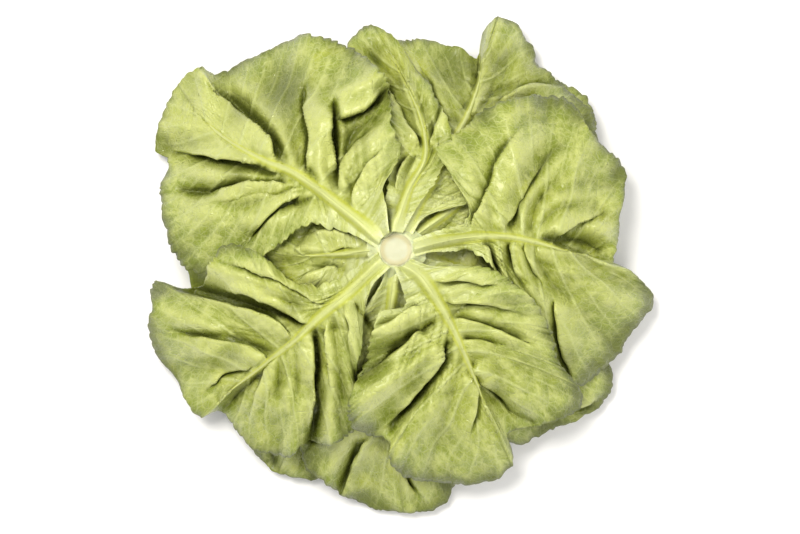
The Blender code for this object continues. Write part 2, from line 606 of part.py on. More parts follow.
def build_stem(heart, finish):
    """The cut stem: a short round post with a bevelled face, narrower down where it meets the heart's core."""
    core = object_triangles(heart)[0]
    foot_height = core[np.linalg.norm(core[:, :2], axis=1) < STEM_RADIUS, 2].max() + STEM_GAP
    profile = [(STEM_RADIUS - 1.2, STEM_TOP), (STEM_RADIUS - 0.3, STEM_TOP - 0.4), (STEM_RADIUS, STEM_TOP - 1.3),
               (STEM_RADIUS, STEM_SHOULDER), (STEM_FOOT_RADIUS, foot_height)]
    angles = np.arange(STEM_SIDES) * 2 * math.pi / STEM_SIDES
    rings = [[(r * math.cos(a), r * math.sin(a), z) for a in angles] for r, z in profile]
    points = np.array([(0, 0, STEM_TOP), *sum(rings, []), (0, 0, foot_height)])
    faces = []
    for k in range(STEM_SIDES):
        n = (k + 1) % STEM_SIDES
        faces.append((0, 1 + k, 1 + n))
        for ring in range(len(rings) - 1):
            upper = 1 + ring * STEM_SIDES
            lower = upper + STEM_SIDES
            faces.append((upper + k, lower + k, lower + n))
            faces.append((upper + k, lower + n, upper + n))
        foot = len(points) - 1 - STEM_SIDES
        faces.append((len(points) - 1, foot + n, foot + k))
    return mesh_object("stem", points, np.array(faces), finish)


def main():
    clear_scene()
    green = material("leaf_green", LEAF_GREEN, 0.45)
    pale = material("pale_leaf", PALE_GREEN, 0.45)
    yellow = material("heart_leaf", HEART_YELLOW, 0.5)
    cream = material("cut_stem", STEM_CREAM, 0.55)
    ball = Pile(*BALL_MAP)
    objects = [build_core(ball, yellow)]
    for number, leaf in enumerate(HEART_LEAVES, 1):
        outermost = number == len(HEART_LEAVES)
        objects.append(build_heart_leaf(f"heart_leaf_{number}", leaf, ball, yellow, outermost))
    crown = min(vertex.co.z for vertex in objects[-1].data.vertices)
    for obj in objects:
        obj.data.transform(Matrix.Translation((0, 0, -crown)))
    build_stem(objects[0], cream)
    pile = Pile(PILE_REACH, CELL, as_it_lies, as_it_lies)
    for obj in objects:
        pile.add(*object_triangles(obj))
    for number, (bearing, size, lean) in enumerate(INNER_WHORL, 1):
        build_leaf(f"inner_leaf_{number}", inner_leaf(bearing, size, lean), pile, pale)
    for name, leaf in LEAVES.items():
        build_leaf(name, leaf, pile, green)


main()
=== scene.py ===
"""The looks of a butterhead lettuce that lies on its crown with the cut stem up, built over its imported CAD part.

Run as a script it builds the stem, the heart, the three whorls of loose leaves and the studio. Registered as an
add-on, each of them has its button in the sidebar of the 3D view. Plan points, heights and sizes in the tables are
in millimetres about the stem's line and the surface that the crown rests on. Settings and meshes are in metres.
"""

import json
import math

import bpy
import numpy as np
from bpy.props import FloatProperty, FloatVectorProperty, IntProperty, PointerProperty
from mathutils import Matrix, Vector
from mathutils.bvhtree import BVHTree

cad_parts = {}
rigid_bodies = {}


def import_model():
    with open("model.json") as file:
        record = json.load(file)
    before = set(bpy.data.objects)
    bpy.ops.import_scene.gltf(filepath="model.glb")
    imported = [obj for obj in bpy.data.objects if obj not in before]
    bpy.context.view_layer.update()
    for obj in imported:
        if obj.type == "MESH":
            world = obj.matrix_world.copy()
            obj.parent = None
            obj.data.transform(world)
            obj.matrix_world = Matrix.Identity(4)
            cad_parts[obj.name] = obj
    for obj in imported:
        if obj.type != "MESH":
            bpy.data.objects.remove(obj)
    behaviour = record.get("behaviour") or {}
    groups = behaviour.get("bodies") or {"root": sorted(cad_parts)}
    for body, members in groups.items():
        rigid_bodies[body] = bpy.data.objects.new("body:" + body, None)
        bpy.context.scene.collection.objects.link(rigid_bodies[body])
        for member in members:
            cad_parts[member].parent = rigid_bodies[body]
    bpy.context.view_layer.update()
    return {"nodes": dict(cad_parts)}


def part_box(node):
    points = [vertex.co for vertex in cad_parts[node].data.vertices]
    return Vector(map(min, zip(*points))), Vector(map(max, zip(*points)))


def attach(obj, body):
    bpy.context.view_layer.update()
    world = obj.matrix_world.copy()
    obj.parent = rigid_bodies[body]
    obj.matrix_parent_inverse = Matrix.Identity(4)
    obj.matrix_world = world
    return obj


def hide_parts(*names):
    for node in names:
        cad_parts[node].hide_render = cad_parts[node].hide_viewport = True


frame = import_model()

bl_info = {
    "name": "Lettuce",
    "version": (1, 0, 0),
    "blender": (4, 5, 0),
    "location": "View3D > Sidebar > Lettuce",
    "description": "Builds a butterhead lettuce over its packed CAD part",
    "category": "Add Mesh",
}

MM = 0.001

# The heart's ball and how its crown is pressed flat, as in the CAD part.
HEART_HALF_WIDTH = 56.0
HEART_HALF_HEIGHT = 37.0
HEART_MIDDLE = 33.0
PRESS = 0.9
PRESS_BEND = 0.02

# The fan of veins that every leaf is made of, as in the CAD part.
RIB_WIDTH = (6.2, 1.0)
RIB_HEIGHT = (5.2, 0.5)
FOOT_RADIUS = 10.3
FOOT_TUCK = 0.6
VEIN_SWEEP = 0.22
EVEN_VEINS = [(0, 0), (1, 1)]
FOLD_RISE = 0.75
RIB_SINK = 3.0

# How much deeper and higher than in the table the creases are pressed, which a crease of the full height gets and a
# lower one less of, how sharp valleys and ridges are, how wide valleys are as a share of the table's width, and how
# much is left of a crease in a leaf that has fold edges.
CREASE_GAIN = 2.1
FULL_CREASE = 10
VALLEY_SHARPNESS = 1.25
RIDGE_SHARPNESS = 2.0
VALLEY_WIDTH = 0.72
CREASE_BY_FOLDS = 0.55

# The step at the edge of a fold: its half width, how far its raised lip hangs over the drop, how wide that lip is,
# and how fast the fold ends past its line. Its line meanders and its height is uneven: share and size. No crease or
# fold edge reaches further than the margin.
FOLD_EDGE_WIDTH = 0.5
FOLD_LEAN = 2.0
FOLD_LIP = 4.0
FOLD_END = 4
FOLD_MEANDER = (0.9, 8)
FOLD_UNEVEN = (0.3, 17)
LINE_MARGIN = 28.0

# How much of the valleys and of the drops in the leaves above a leaf is pressed with.
VALLEY_BELOW = 0.9
DROP_BELOW = 0.8

# Broad swells of the blade: height and size. Wobbles of the rim: height and size. Fan and stretch of the pleats.
SWELL = (1.2, 17)
RIM_WOBBLES = ((1.3, 8), (0.7, 3.2))
PLEAT_FAN = 0.35
PLEAT_STRETCH = 0.22

# Reach from the stem over which each thing sets in: the midrib's height, the blade's detail, pleats, the lift off
# the pile and, backwards, the tuck of the foot. Pleats fade again further out.
RIB_START = (10, 26)
DETAIL_START = (16, 42)
PLEAT_START = (24, 50)
PLEAT_FADE = (45, 110)
PILE_START = (13, 30)
TUCK_END = (10, 15)

# Distance from the midrib, as a share of its width, over which creases set in.
BESIDE_RIB = (0.4, 2.2)

# How many times heights are blurred: from the CAD leaf, each round of the lift, the lift, and the blade that relief
# is measured from.
CAD_BLUR = 30
LIFT_ROUNDS = 7
LIFT_BLUR = (2, 3)
RELIEF_BLUR = 64

# The edge thins by this share, and the foot's flesh fades over this reach.
EDGE_THINNING = 0.35
FLESH_REACH = 12

# Relief below the softened blade, and depth of a valley, at which the painted shade of a fold has its deepest green,
# and relief above it at which the painted satin highlight is full.
SHADE_RELIEF = 3.5
SHADE_VALLEY = 26
HIGHLIGHT_RELIEF = 3.4

# The cut stem: its radius, how uneven it is, and its outline as radius and height.
STEM_RADIUS = 9.6
STEM_UNEVEN = 0.12
STEM_PROFILE = [
    (1.5, 105.9), (3.0, 105.85), (4.5, 105.8), (6.0, 105.8), (7.2, 105.85), (8.1, 105.95), (8.7, 106.0), (9.1, 105.85),
    (9.5, 105.5), (9.8, 104.9), (9.8, 102.0), (9.7, 98.0), (9.5, 94.0), (7.5, 86.0),
]
STEM_TOP = 105.9
STEM_FOOT_RADIUS = 5.5

# The collar round the stem: where it starts, its mean reach, height at the stem, drop at its edge, thickness and
# rings of its mesh, then height and size of the lobes of its rim and of the waves of its face.
WEB_START = 8.2
WEB_REACH = 16.0
WEB_TOP = 105.9
WEB_DROP = 6.5
WEB_THICKNESS = 1.6
WEB_RINGS = 22
WEB_RAGGED = ((3.0, 4), (0.5, 0.9))
WEB_WAVES = ((0.9, 4), (0.5, 1.8))

# How low a leaf falls without and with its creases, and how softly it levels out above that.
LOWEST = 6.0
LOWEST_CREASE = 2.0
LOW_BEND = 3.0

# Cells of the pile's height map.
CELL = 1.0
PILE_REACH = 175.0
EMPTY = -1000.0

# In metres: the point in the middle of the picture, the height that the camera's distance is taken from, and what
# the lights are turned to. Then the corners of the round floor.
PICTURE_MIDDLE = (0.0022, -0.0094)
CAMERA_BASE = 0.06
LIGHT_TARGET = (0, 0, 0.05)
FLOOR_SIDES = 64

# How each whorl falls away from the stem: height at the stem, drop, the reach at which it has dropped, and power.
OUTER_FALL = (104.0, 82.0, 140.0, 1.9)
MIDDLE_FALL = (93.0, 78.0, 138.0, 1.75)
INNER_FALL = (86.0, 60.0, 100.0, 1.9)

# Bearing of the foot in degrees, half the angle that the foot takes round the stem, midrib, tip, edges and folds.
# A fold is (share of the way along the edge from foot to tip, height): ridges are up and valleys down.
# The leaves are in the order that they lie in, the undermost first.
LEAVES = {
    "middle_leaf_back_right": {
        "bearing": 35, "half_foot": 25, "fall": MIDDLE_FALL, "lift": -4,
        "rib": [(28, 20), (50, 38), (70, 56), (86, 70)], "tip": (106, 86),
        "left": [(16, 22), (30, 44), (48, 66), (62, 84), (78, 94), (94, 93)],
        "right": [(26, 8), (56, 16), (86, 30), (106, 46), (112, 62), (110, 76)],
        "folds_left": [(0, 0), (0.25, 4), (0.45, -5), (0.65, 5), (0.85, -4), (1, 4)],
        "folds_right": [(0, 0), (0.2, -4), (0.4, 5), (0.6, -5), (0.8, 5), (1, 3)],
    },
    "middle_leaf_front_left": {
        "bearing": 236, "half_foot": 15, "fall": MIDDLE_FALL, "lift": -8,
        "rib": [(-18, -30), (-34, -58), (-46, -82), (-56, -102)], "tip": (-66, -125),
        "left": [(-8, -24), (-16, -52), (-26, -84), (-34, -112), (-44, -128), (-56, -128)],
        "right": [(-22, -18), (-46, -42), (-68, -68), (-80, -94), (-80, -110), (-74, -120)],
        "folds_left": [(0, 0), (0.25, 4), (0.5, -5), (0.72, 5), (0.88, -3), (1, 3)],
        "folds_right": [(0, 0), (0.25, -4), (0.5, 5), (0.72, -5), (0.88, 4), (1, 3)],
    },
    "middle_leaf_front": {
        "bearing": 266, "half_foot": 25, "fall": MIDDLE_FALL, "lift": 0,
        "rib": [(-3, -32), (-7, -60), (-6, -88), (-1, -114)], "tip": (5, -148),
        "left": [(8, -22), (20, -50), (32, -82), (36, -108), (32, -132), (22, -145)],
        "right": [(-10, -22), (-26, -46), (-42, -74), (-52, -100), (-50, -120), (-34, -133), (-14, -144)],
        "folds_left": [(0, 0), (0.2, 4), (0.4, -5), (0.6, 6), (0.8, -8), (0.92, 2), (1, 3)],
        "folds_right": [(0, 0), (0.2, -4), (0.4, 5), (0.58, -7), (0.75, 7), (0.9, -4), (1, 3)],
    },
    "middle_leaf_front_right": {
        "bearing": 322, "half_foot": 26, "fall": MIDDLE_FALL, "lift": -2,
        "rib": [(26, -22), (48, -42), (68, -58), (88, -70)], "tip": (113, -88),
        "left": [(22, -6), (50, -14), (84, -32), (108, -50), (119, -64), (120, -78)],
        "right": [(14, -24), (26, -52), (42, -82), (56, -100), (68, -108), (84, -102), (102, -95)],
        "folds_left": [(0, 0), (0.2, 4), (0.38, -5), (0.56, 5), (0.76, -6), (0.9, 4), (1, 4)],
        "folds_right": [(0, 0), (0.2, -4), (0.38, 5), (0.56, -5), (0.74, 3), (0.88, -4), (1, 4)],
    },
    "middle_leaf_left": {
        "bearing": 181, "half_foot": 26, "fall": MIDDLE_FALL, "lift": 2,
        "rib": [(-26, -2), (-40, -3), (-54, -3)], "tip": (-73, 2),
        "left": [(-18, -12), (-30, -22), (-44, -24), (-58, -16), (-69, -7)],
        "right": [(-18, 11), (-32, 22), (-50, 28), (-64, 20), (-72, 11)],
        "folds_left": [(0, 0), (0.25, 4), (0.45, -5), (0.65, 5), (0.85, -3), (1, 3)],
        "folds_right": [(0, 0), (0.2, -4), (0.4, 4), (0.6, -4), (0.8, 5), (1, 3)],
    },
    "outer_leaf_back": {
        "bearing": 63, "half_foot": 25, "fall": OUTER_FALL, "lift": -9,
        "rib": [(13, 27), (21, 41), (30, 57), (38, 71), (44, 86), (49, 106)], "tip": (57, 131),
        "left": [(2, 24), (-2, 38), (-2, 52), (-3, 68), (-7, 86), (-12, 102), (-6, 114), (12, 117), (32, 112),
                 (45, 108), (49, 122)],
        "right": [(16, 18), (34, 24), (62, 32), (90, 44), (106, 58), (111, 68), (105, 81), (94, 91), (80, 102),
                  (75, 114), (67, 127)],
        "folds_left": [(0, 0), (0.12, 3), (0.22, -5), (0.32, 6), (0.45, -8), (0.6, -2), (0.72, -9), (0.82, -3),
                       (0.92, -14), (1, 4)],
        "folds_right": [(0, 0), (0.2, 3), (0.4, -2), (0.55, 3), (0.7, 4), (0.84, -6), (0.94, 8), (1, 6)],
    },
    "middle_leaf_back": {
        "bearing": 92, "half_foot": 25, "fall": MIDDLE_FALL, "lift": 3,
        "rib": [(7, 32), (16, 50), (14, 70), (6, 90), (-2, 106)], "tip": (-13, 124),
        "left": [(-5, 26), (-2, 46), (-2, 64), (-8, 86), (-20, 100), (-28, 112), (-20, 121)],
        "right": [(12, 24), (24, 44), (30, 60), (25, 76), (17, 92), (8, 104), (-2, 118)],
        "folds_left": [(0, 0), (0.3, -2), (0.5, -6), (0.68, -10), (0.85, 5), (1, 4)],
        "folds_right": [(0, 0), (0.3, 3), (0.55, 7), (0.75, -5), (0.9, 5), (1, 4)],
    },
    "outer_leaf_back_left": {
        "bearing": 144, "half_foot": 33, "fall": OUTER_FALL, "lift": 0,
        "rib": [(-31, 24), (-54, 41), (-72, 49), (-92, 60), (-110, 75)], "tip": (-122, 93),
        "left": [(-25, 9), (-48, 15), (-66, 2), (-84, -8), (-101, -13), (-117, -8), (-128, 12), (-131, 33),
                 (-127, 49), (-135, 58), (-131, 76)],
        "right": [(-5, 22), (-7, 34), (1, 50), (-3, 68), (-5, 88), (-14, 101), (-28, 112), (-48, 119), (-68, 113),
                  (-86, 106), (-101, 98), (-110, 102)],
        "veins_left": [(0, 0), (0.34, 0.165), (1, 1)],
        "folds_left": [(0, 0), (0.16, 1), (0.27, -6), (0.37, 5), (0.48, -5), (0.6, 5), (0.7, 1), (0.82, -15),
                       (0.9, 7), (1, 8)],
        "folds_right": [(0, 0), (0.12, 3), (0.25, 8), (0.35, -13), (0.46, 11), (0.52, 3), (0.6, 12), (0.74, -7),
                        (0.87, -17), (0.94, 9), (1, 8)],
    },
    "outer_leaf_right": {
        "bearing": 4, "half_foot": 29, "fall": OUTER_FALL, "lift": 0,
        "rib": [(28, 5), (44, 7), (60, 7), (76, 4), (92, -1), (106, -5)], "tip": (120, -7),
        "left": [(22, 10), (36, 13), (40, 22), (31, 39), (24, 52), (32, 61), (45, 73), (60, 81), (81, 84), (99, 80),
                 (107, 66), (122, 50), (128, 41), (124, 20), (123, 4)],
        "right": [(22, -1), (44, -2), (56, -14), (68, -34), (82, -58), (96, -72), (106, -74), (122, -59), (132, -47),
                  (140, -35), (143, -25), (132, -13)],
        "veins_left": [(0, 0), (0.31, 0.1), (0.53, 0.36), (1, 1)],
        "veins_right": [(0, 0), (0.33, 0.15), (1, 1)],
        "folds_left": [(0, 0), (0.16, 0), (0.27, 4), (0.37, 0), (0.46, 6), (0.57, -7), (0.68, 7), (0.8, 0),
                       (0.9, 8), (0.96, -9), (1, -10)],
        "folds_right": [(0, 0), (0.13, 0), (0.2, 9), (0.245, -7), (0.29, 9), (0.36, -8), (0.45, 4), (0.58, 0),
                        (0.7, -6), (0.8, 5), (0.88, -2), (0.95, 6), (1, -8)],
    },
    "outer_leaf_front_left": {
        "bearing": 220, "half_foot": 33, "fall": OUTER_FALL, "lift": 0,
        "rib": [(-25, -23), (-42, -37), (-57, -51), (-75, -65), (-92, -78)], "tip": (-108, -93),
        "left": [(-13, -20), (-17, -34), (-19, -50), (-22, -68), (-21, -88), (-25, -100), (-37, -107), (-50, -106),
                 (-60, -114), (-78, -110), (-88, -101), (-97, -89)],
        "right": [(-24, -12), (-38, -20), (-55, -18), (-68, -8), (-80, 0), (-91, 2), (-100, -7), (-105, -19),
                  (-118, -22), (-134, -18), (-136, -32), (-137, -48), (-131, -61), (-124, -70), (-114, -88)],
        "veins_right": [(0, 0), (0.3, 0.136), (0.45, 0.27), (1, 1)],
        "folds_left": [(0, 0), (0.14, -3), (0.25, 6), (0.34, -8), (0.44, 8), (0.54, 6), (0.62, -14), (0.7, 8),
                       (0.8, 6), (0.88, -5), (0.95, -12), (1, 5)],
        "folds_right": [(0, 0), (0.13, -2), (0.24, 4), (0.36, -2), (0.46, 7), (0.56, -15), (0.64, -10), (0.7, 9),
                        (0.78, 3), (0.85, -8), (0.93, 4), (1, 5)],
    },
    "outer_leaf_front_right": {
        "bearing": 297, "half_foot": 33, "fall": OUTER_FALL, "lift": 0,
        "rib": [(13, -14), (22, -27), (30, -41), (37, -56), (44, -73), (49, -86)], "tip": (65, -120),
        "left": [(20, -9), (36, -9), (49, -11), (64, -19), (75, -29), (83, -45), (88, -60), (96, -70), (104, -82),
                 (98, -90), (80, -96), (62, -101), (64, -110)],
        "right": [(3, -20), (5, -31), (-8, -34), (-12, -46), (-15, -60), (-24, -78), (-25, -92), (-15, -100),
                  (-3, -105), (-3, -115), (7, -126), (28, -130), (50, -129)],
        "veins_right": [(0, 0), (0.24, 0.1), (0.4, 0.29), (1, 1)],
        "folds_left": [(0, 0), (0.14, 3), (0.25, -4), (0.35, 5), (0.45, -3), (0.56, 6), (0.66, 3), (0.78, 8),
                       (0.88, -10), (0.95, -4), (1, 4)],
        "folds_right": [(0, 0), (0.1, 0), (0.2, 6), (0.29, -9), (0.36, 3), (0.44, 9), (0.54, -13), (0.62, 3),
                        (0.7, 6), (0.8, -2), (0.9, 5), (1, 3)],
    },
}

# The inner whorl cups the heart. Its leaves share one outline, turned and sized for each: bearing, size, lean.
INNER_WHORL = [(193, 1.15, 0.0006), (128, 0.98, -0.0008), (56, 1.03, 0.0007), (344, 0.97, -0.0006),
               (272, 1.02, 0.0008)]
INNER_RIB = [(26, 0), (44, 0), (60, 0), (78, 0)]
INNER_TIP = (103, 0)
INNER_EDGE = [(20, 12), (34, 32), (50, 52), (68, 64), (86, 58), (98, 34)]
INNER_FOLDS = [(0, 0), (0.16, 3), (0.3, -4), (0.42, 4), (0.54, -5), (0.66, 5), (0.78, -5), (0.9, 5), (1, -2)]

# Leaves of the heart, inmost first: bearing of the foot, how far past the crown the tip ends in degrees, half
# width in degrees. How far out each one lies is taken from its CAD node.
HEART_LEAVES = [(105, 4, 60), (285, 2, 60), (0, 6, 56), (165, 4, 54), (75, 8, 50), (245, 15, 52)]
HEART_FOOT_ANGLE = 169.0

# A heart leaf in its own plan, in millimetres: half width and length, the size of its puffed tissue, the share of
# its width that the midrib takes, how much the midrib stands out, and the lowest that its two faces reach.
HEART_PLAN = (60, 150)
HEART_PUFF = 9
HEART_RIB = 0.07
HEART_RIB_HEIGHT = 0.7
HEART_LOWEST = (0.5, 0.05)

# Creases pressed into the leaves: height at the start and end, width at the start and end, and the line in plan.
# Ridges are up and valleys down.
CREASES = {
    "outer_leaf_back_left": [
        (5, 10, 4, 5, [(-65, 49), (-70, 61), (-77, 68), (-91, 79), (-105, 94), (-110, 102)]),
        (-12, -12, 4, 6, [(-63, 48), (-64, 55), (-74, 67), (-83, 75), (-92, 84)]),
        (4, 3, 3, 5, [(-56, 46), (-61, 58), (-66, 69), (-77, 78)]),
        (-7, -9, 9, 15, [(-55, 55), (-57, 72), (-62, 87), (-65, 99)]),
        (-5, -8, 4, 9, [(-53, 45), (-54, 61), (-57, 80), (-62, 92)]),
        (-11, -8, 3.5, 5, [(-47, 43), (-47, 62), (-50, 75), (-51, 89)]),
        (6, 7, 3, 6, [(-40, 37), (-42, 50), (-43, 63), (-43, 81)]),
        (-11, -12, 3, 3.5, [(-32, 40), (-33, 55), (-34, 67), (-34, 78)]),
        (-9, -12, 3, 5, [(-32, 74), (-25, 76), (-16, 80), (-8, 86)]),
        (5, 6, 4, 5, [(-31, 85), (-20, 88), (-7, 94)]),
        (-8, -9, 2.5, 5, [(-30, 40), (-28, 52), (-23, 64), (-13, 72)]),
        (5, 4, 2, 4, [(-28, 33), (-27, 44), (-23, 56), (-10, 61)]),
        (-5, -3, 2.5, 3, [(-25, 34), (-24, 43), (-20, 52)]),
        (4, 2, 5, 8, [(-18, 28), (-13, 43), (-9, 55)]),
        (-3, -3, 2.5, 3, [(-13, 21), (-7, 33), (-4, 43)]),
        (-6, -7, 3, 7, [(-61, 42), (-74, 45), (-88, 47), (-102, 50)]),
        (7, 5, 6, 7, [(-87, 42), (-96, 43), (-105, 43)]),
        (4, 4, 2.5, 4, [(-55, 35), (-66, 38), (-79, 36), (-88, 34)]),
        (-8, -11, 2.5, 4, [(-68, 34), (-79, 33), (-90, 33), (-103, 32), (-118, 33)]),
        (4, 5, 2, 4, [(-52, 33), (-62, 32), (-74, 30), (-88, 29), (-101, 29)]),
        (-4, -4, 1.8, 3, [(-51, 31), (-64, 28), (-80, 25), (-99, 26)]),
        (5, 5, 3, 7, [(-48, 30), (-62, 25), (-74, 20), (-88, 16), (-106, 20)]),
        (-8, -9, 2.5, 5, [(-46, 28), (-58, 23), (-69, 19), (-77, 11), (-84, 2)]),
    ],
    "outer_leaf_right": [
        (-7, -7, 4, 6, [(64, 14), (65, 28), (70, 38), (79, 48), (90, 57)]),
        (5, 3, 2, 4, [(69, 12), (70, 24), (76, 33), (86, 41)]),
        (-6, -5, 3, 5, [(74, 12), (76, 22), (82, 32), (91, 41)]),
        (5, 5, 3.5, 6, [(57, 13), (59, 25), (63, 37), (69, 50), (79, 61)]),
        (-3, -3, 2.5, 4, [(53, 13), (51, 25), (53, 38), (60, 55)]),
        (3, 3, 3, 7, [(47, 12), (45, 25), (43, 38), (46, 58)]),
        (-10, -12, 4, 5, [(88, 6), (96, 6), (105, 4), (112, 0)]),
        (5, 6, 3, 5, [(82, 9), (90, 13), (101, 16), (112, 13), (120, 6), (122, -2)]),
        (-4, -3, 3, 4, [(79, 14), (88, 22), (101, 24), (116, 21)]),
        (4, 4, 3, 5, [(78, 18), (86, 27), (102, 30), (123, 28)]),
        (-4, -4, 5, 8, [(90, 33), (107, 38), (120, 40)]),
        (-9, -8, 2.5, 3, [(48, 4), (50, -4), (57, -14)]),
        (5, 4, 2, 3, [(57, 6), (59, -3), (64, -14)]),
        (-7, -6, 2, 3, [(62, 5), (65, -7), (69, -20)]),
        (6, 5, 2.5, 5, [(67, 4), (70, -7), (76, -22), (86, -37)]),
        (-6, -5, 3, 5, [(74, 2), (80, -9), (86, -19), (97, -28)]),
        (5, 5, 4, 7, [(84, -2), (95, -12), (110, -23), (132, -31)]),
        (-4, -4, 4, 7, [(94, -28), (107, -37), (119, -51)]),
        (4, 3, 4, 6, [(88, -34), (94, -47), (103, -61)]),
        (-4, -3, 2.5, 3, [(36, 4), (37, -1), (41, -7)]),
        (3, 3, 2, 3, [(42, 4), (44, -2), (50, -9)]),
    ],
    "outer_leaf_front_right": [
        (-7, -6, 3, 5, [(31, -34), (43, -29), (61, -29), (68, -34)]),
        (4, 4, 3, 5, [(29, -23), (41, -20), (55, -19), (68, -23)]),
        (4, 3, 2.5, 4, [(33, -41), (48, -37), (66, -42), (82, -53)]),
        (-5, -4, 2, 3, [(35, -47), (44, -50), (55, -51), (68, -56)]),
        (4, 5, 2.5, 5, [(36, -53), (48, -56), (61, -64), (74, -76), (91, -85)]),
        (-10, -9, 3, 5, [(41, -62), (47, -70), (56, -79), (65, -90), (74, -94)]),
        (4, 4, 5, 8, [(48, -84), (54, -99), (59, -116)]),
        (-10, -8, 2.5, 5, [(28, -51), (22, -62), (14, -74), (4, -87), (-2, -98)]),
        (6, 6, 4, 8, [(21, -55), (9, -65), (-4, -74), (-16, -82)]),
        (5, 4, 4, 7, [(31, -56), (24, -74), (13, -96), (3, -111)]),
        (-4, -4, 3, 5, [(34, -62), (31, -80), (24, -102), (19, -121)]),
        (3, 3, 4, 8, [(38, -69), (38, -88), (36, -110), (35, -127)]),
        (-12, -13, 2.5, 5, [(19, -40), (13, -45), (3, -53), (-9, -62), (-19, -69)]),
        (5, 5, 4, 6, [(15, -32), (4, -37), (-6, -47), (-12, -56)]),
        (-3, -3, 2, 3, [(13, -23), (7, -26), (1, -30)]),
    ],
    "outer_leaf_front_left": [
        (-16, -15, 3, 5, [(-48, -41), (-58, -36), (-74, -32), (-88, -27), (-101, -24), (-110, -22)]),
        (6, 6, 3, 6, [(-41, -29), (-53, -24), (-68, -18), (-84, -13), (-100, -11)]),
        (7, 6, 3, 6, [(-57, -47), (-69, -42), (-84, -37), (-105, -32), (-127, -26)]),
        (-8, -6, 3, 5, [(-69, -56), (-77, -53), (-91, -48), (-108, -47), (-121, -46)]),
        (5, 4, 3, 6, [(-74, -62), (-88, -57), (-105, -56), (-121, -59)]),
        (-4, -3, 2.5, 5, [(-86, -66), (-99, -65), (-112, -69)]),
        (-9, -8, 3, 5, [(-76, -69), (-81, -74), (-88, -80), (-94, -86)]),
        (4, 4, 2.5, 4, [(-67, -62), (-68, -72), (-76, -81)]),
        (-5, -4, 2.5, 4, [(-63, -56), (-64, -68), (-66, -80)]),
        (5, 5, 2.5, 5, [(-58, -53), (-57, -67), (-61, -82), (-70, -96)]),
        (4, 5, 3, 6, [(-52, -52), (-51, -68), (-51, -88), (-54, -107)]),
        (-15, -12, 2.5, 5, [(-44, -45), (-43, -58), (-43, -74), (-43, -89), (-46, -103)]),
        (6, 5, 2.5, 5, [(-38, -41), (-37, -55), (-36, -69), (-33, -84)]),
        (-6, -6, 2.5, 4, [(-34, -37), (-32, -53), (-30, -68), (-28, -81)]),
        (5, 5, 2.5, 4, [(-30, -32), (-25, -47), (-21, -61), (-19, -72)]),
        (-9, -8, 2, 3, [(-24, -26), (-19, -34), (-12, -44)]),
        (4, 4, 2, 4, [(-19, -22), (-12, -32), (-6, -42)]),
        (-5, -5, 2, 4, [(-36, -28), (-47, -21), (-61, -13)]),
    ],
    "outer_leaf_back": [
        (-6, -9, 7, 12, [(41, 73), (36, 85), (30, 96)]),
        (-6, -8, 6, 10, [(46, 77), (60, 84), (76, 85)]),
        (-10, -7, 4, 8, [(43, 74), (48, 80), (56, 88), (70, 94)]),
        (6, 5, 5, 8, [(52, 99), (57, 112), (62, 123)]),
        (5, 4, 6, 8, [(68, 106), (82, 90), (98, 81)]),
        (-7, -5, 4, 6, [(36, 65), (32, 74), (29, 84)]),
        (-7, -6, 4, 5, [(43, 91), (36, 96), (30, 100)]),
        (4, 3, 3, 5, [(41, 82), (31, 89), (20, 95)]),
        (5, 4, 3, 4, [(21, 45), (15, 51), (9, 53), (1, 46)]),
        (-8, -6, 3, 4, [(24, 52), (15, 59), (4, 57)]),
        (-4, -3, 2, 3, [(13, 30), (9, 40), (7, 46)]),
        (3, 2, 2, 3, [(8, 21), (3, 33), (1, 41)]),
        (-6, -5, 2.5, 4, [(18, 28), (22, 33), (26, 36)]),
    ],
    "middle_leaf_back": [
        (5, 6, 2, 3, [(24, 53), (14, 67), (9, 82), (5, 96)]),
        (-9, -8, 3, 5, [(18, 55), (7, 66), (0, 80), (-4, 94)]),
        (-5, -4, 3, 4, [(22, 61), (18, 73), (12, 85)]),
        (-8, -7, 3, 5, [(2, 91), (-6, 100), (-14, 108)]),
        (5, 5, 5, 7, [(-7, 113), (-13, 118), (-21, 116)]),
    ],
    "middle_leaf_left": [
        (6, 5, 3, 4, [(-36, 20), (-53, 21), (-68, 12), (-70, 2)]),
        (-5, -5, 2.5, 4, [(-31, 10), (-43, 13), (-55, 10), (-63, 2)]),
        (4, 4, 2.5, 4, [(-30, -7), (-42, 0), (-54, 1), (-63, -4)]),
        (-4, -4, 2, 3, [(-28, -12), (-38, -10), (-53, -8)]),
        (4, 3, 2.5, 4, [(-26, -19), (-36, -18), (-47, -15)]),
    ],
    "middle_leaf_front": [
        (4, 4, 6, 9, [(-6, -72), (-10, -99), (-13, -132)]),
        (-7, -6, 3, 5, [(-22, -107), (-24, -117), (-25, -130)]),
        (5, 5, 4, 6, [(-32, -109), (-36, -119), (-41, -127)]),
        (-8, -5, 4, 6, [(1, -110), (3, -124), (9, -138)]),
        (5, 4, 5, 8, [(11, -130), (20, -138)]),
        (-9, -8, 2.5, 4, [(-2, -15), (-3, -23), (-3, -31)]),
    ],
    "middle_leaf_front_left": [
        (4, 4, 5, 7, [(-61, -110), (-58, -120), (-53, -127)]),
        (-4, -3, 3, 5, [(-70, -111), (-68, -120)]),
    ],
    "middle_leaf_front_right": [
        (4, 4, 5, 8, [(112, -72), (110, -80), (99, -91)]),
        (-4, -4, 4, 6, [(84, -94), (79, -102)]),
    ],
    "middle_leaf_back_right": [
        (-7, -6, 2.5, 4, [(12, 10), (19, 18), (18, 24), (23, 32)]),
        (5, 4, 2.5, 4, [(15, 8), (25, 19), (28, 30), (31, 36)]),
        (-6, -5, 2, 3, [(22, 7), (33, 20), (35, 30)]),
        (4, 4, 2, 4, [(28, 6), (36, 15), (41, 25)]),
    ],
}

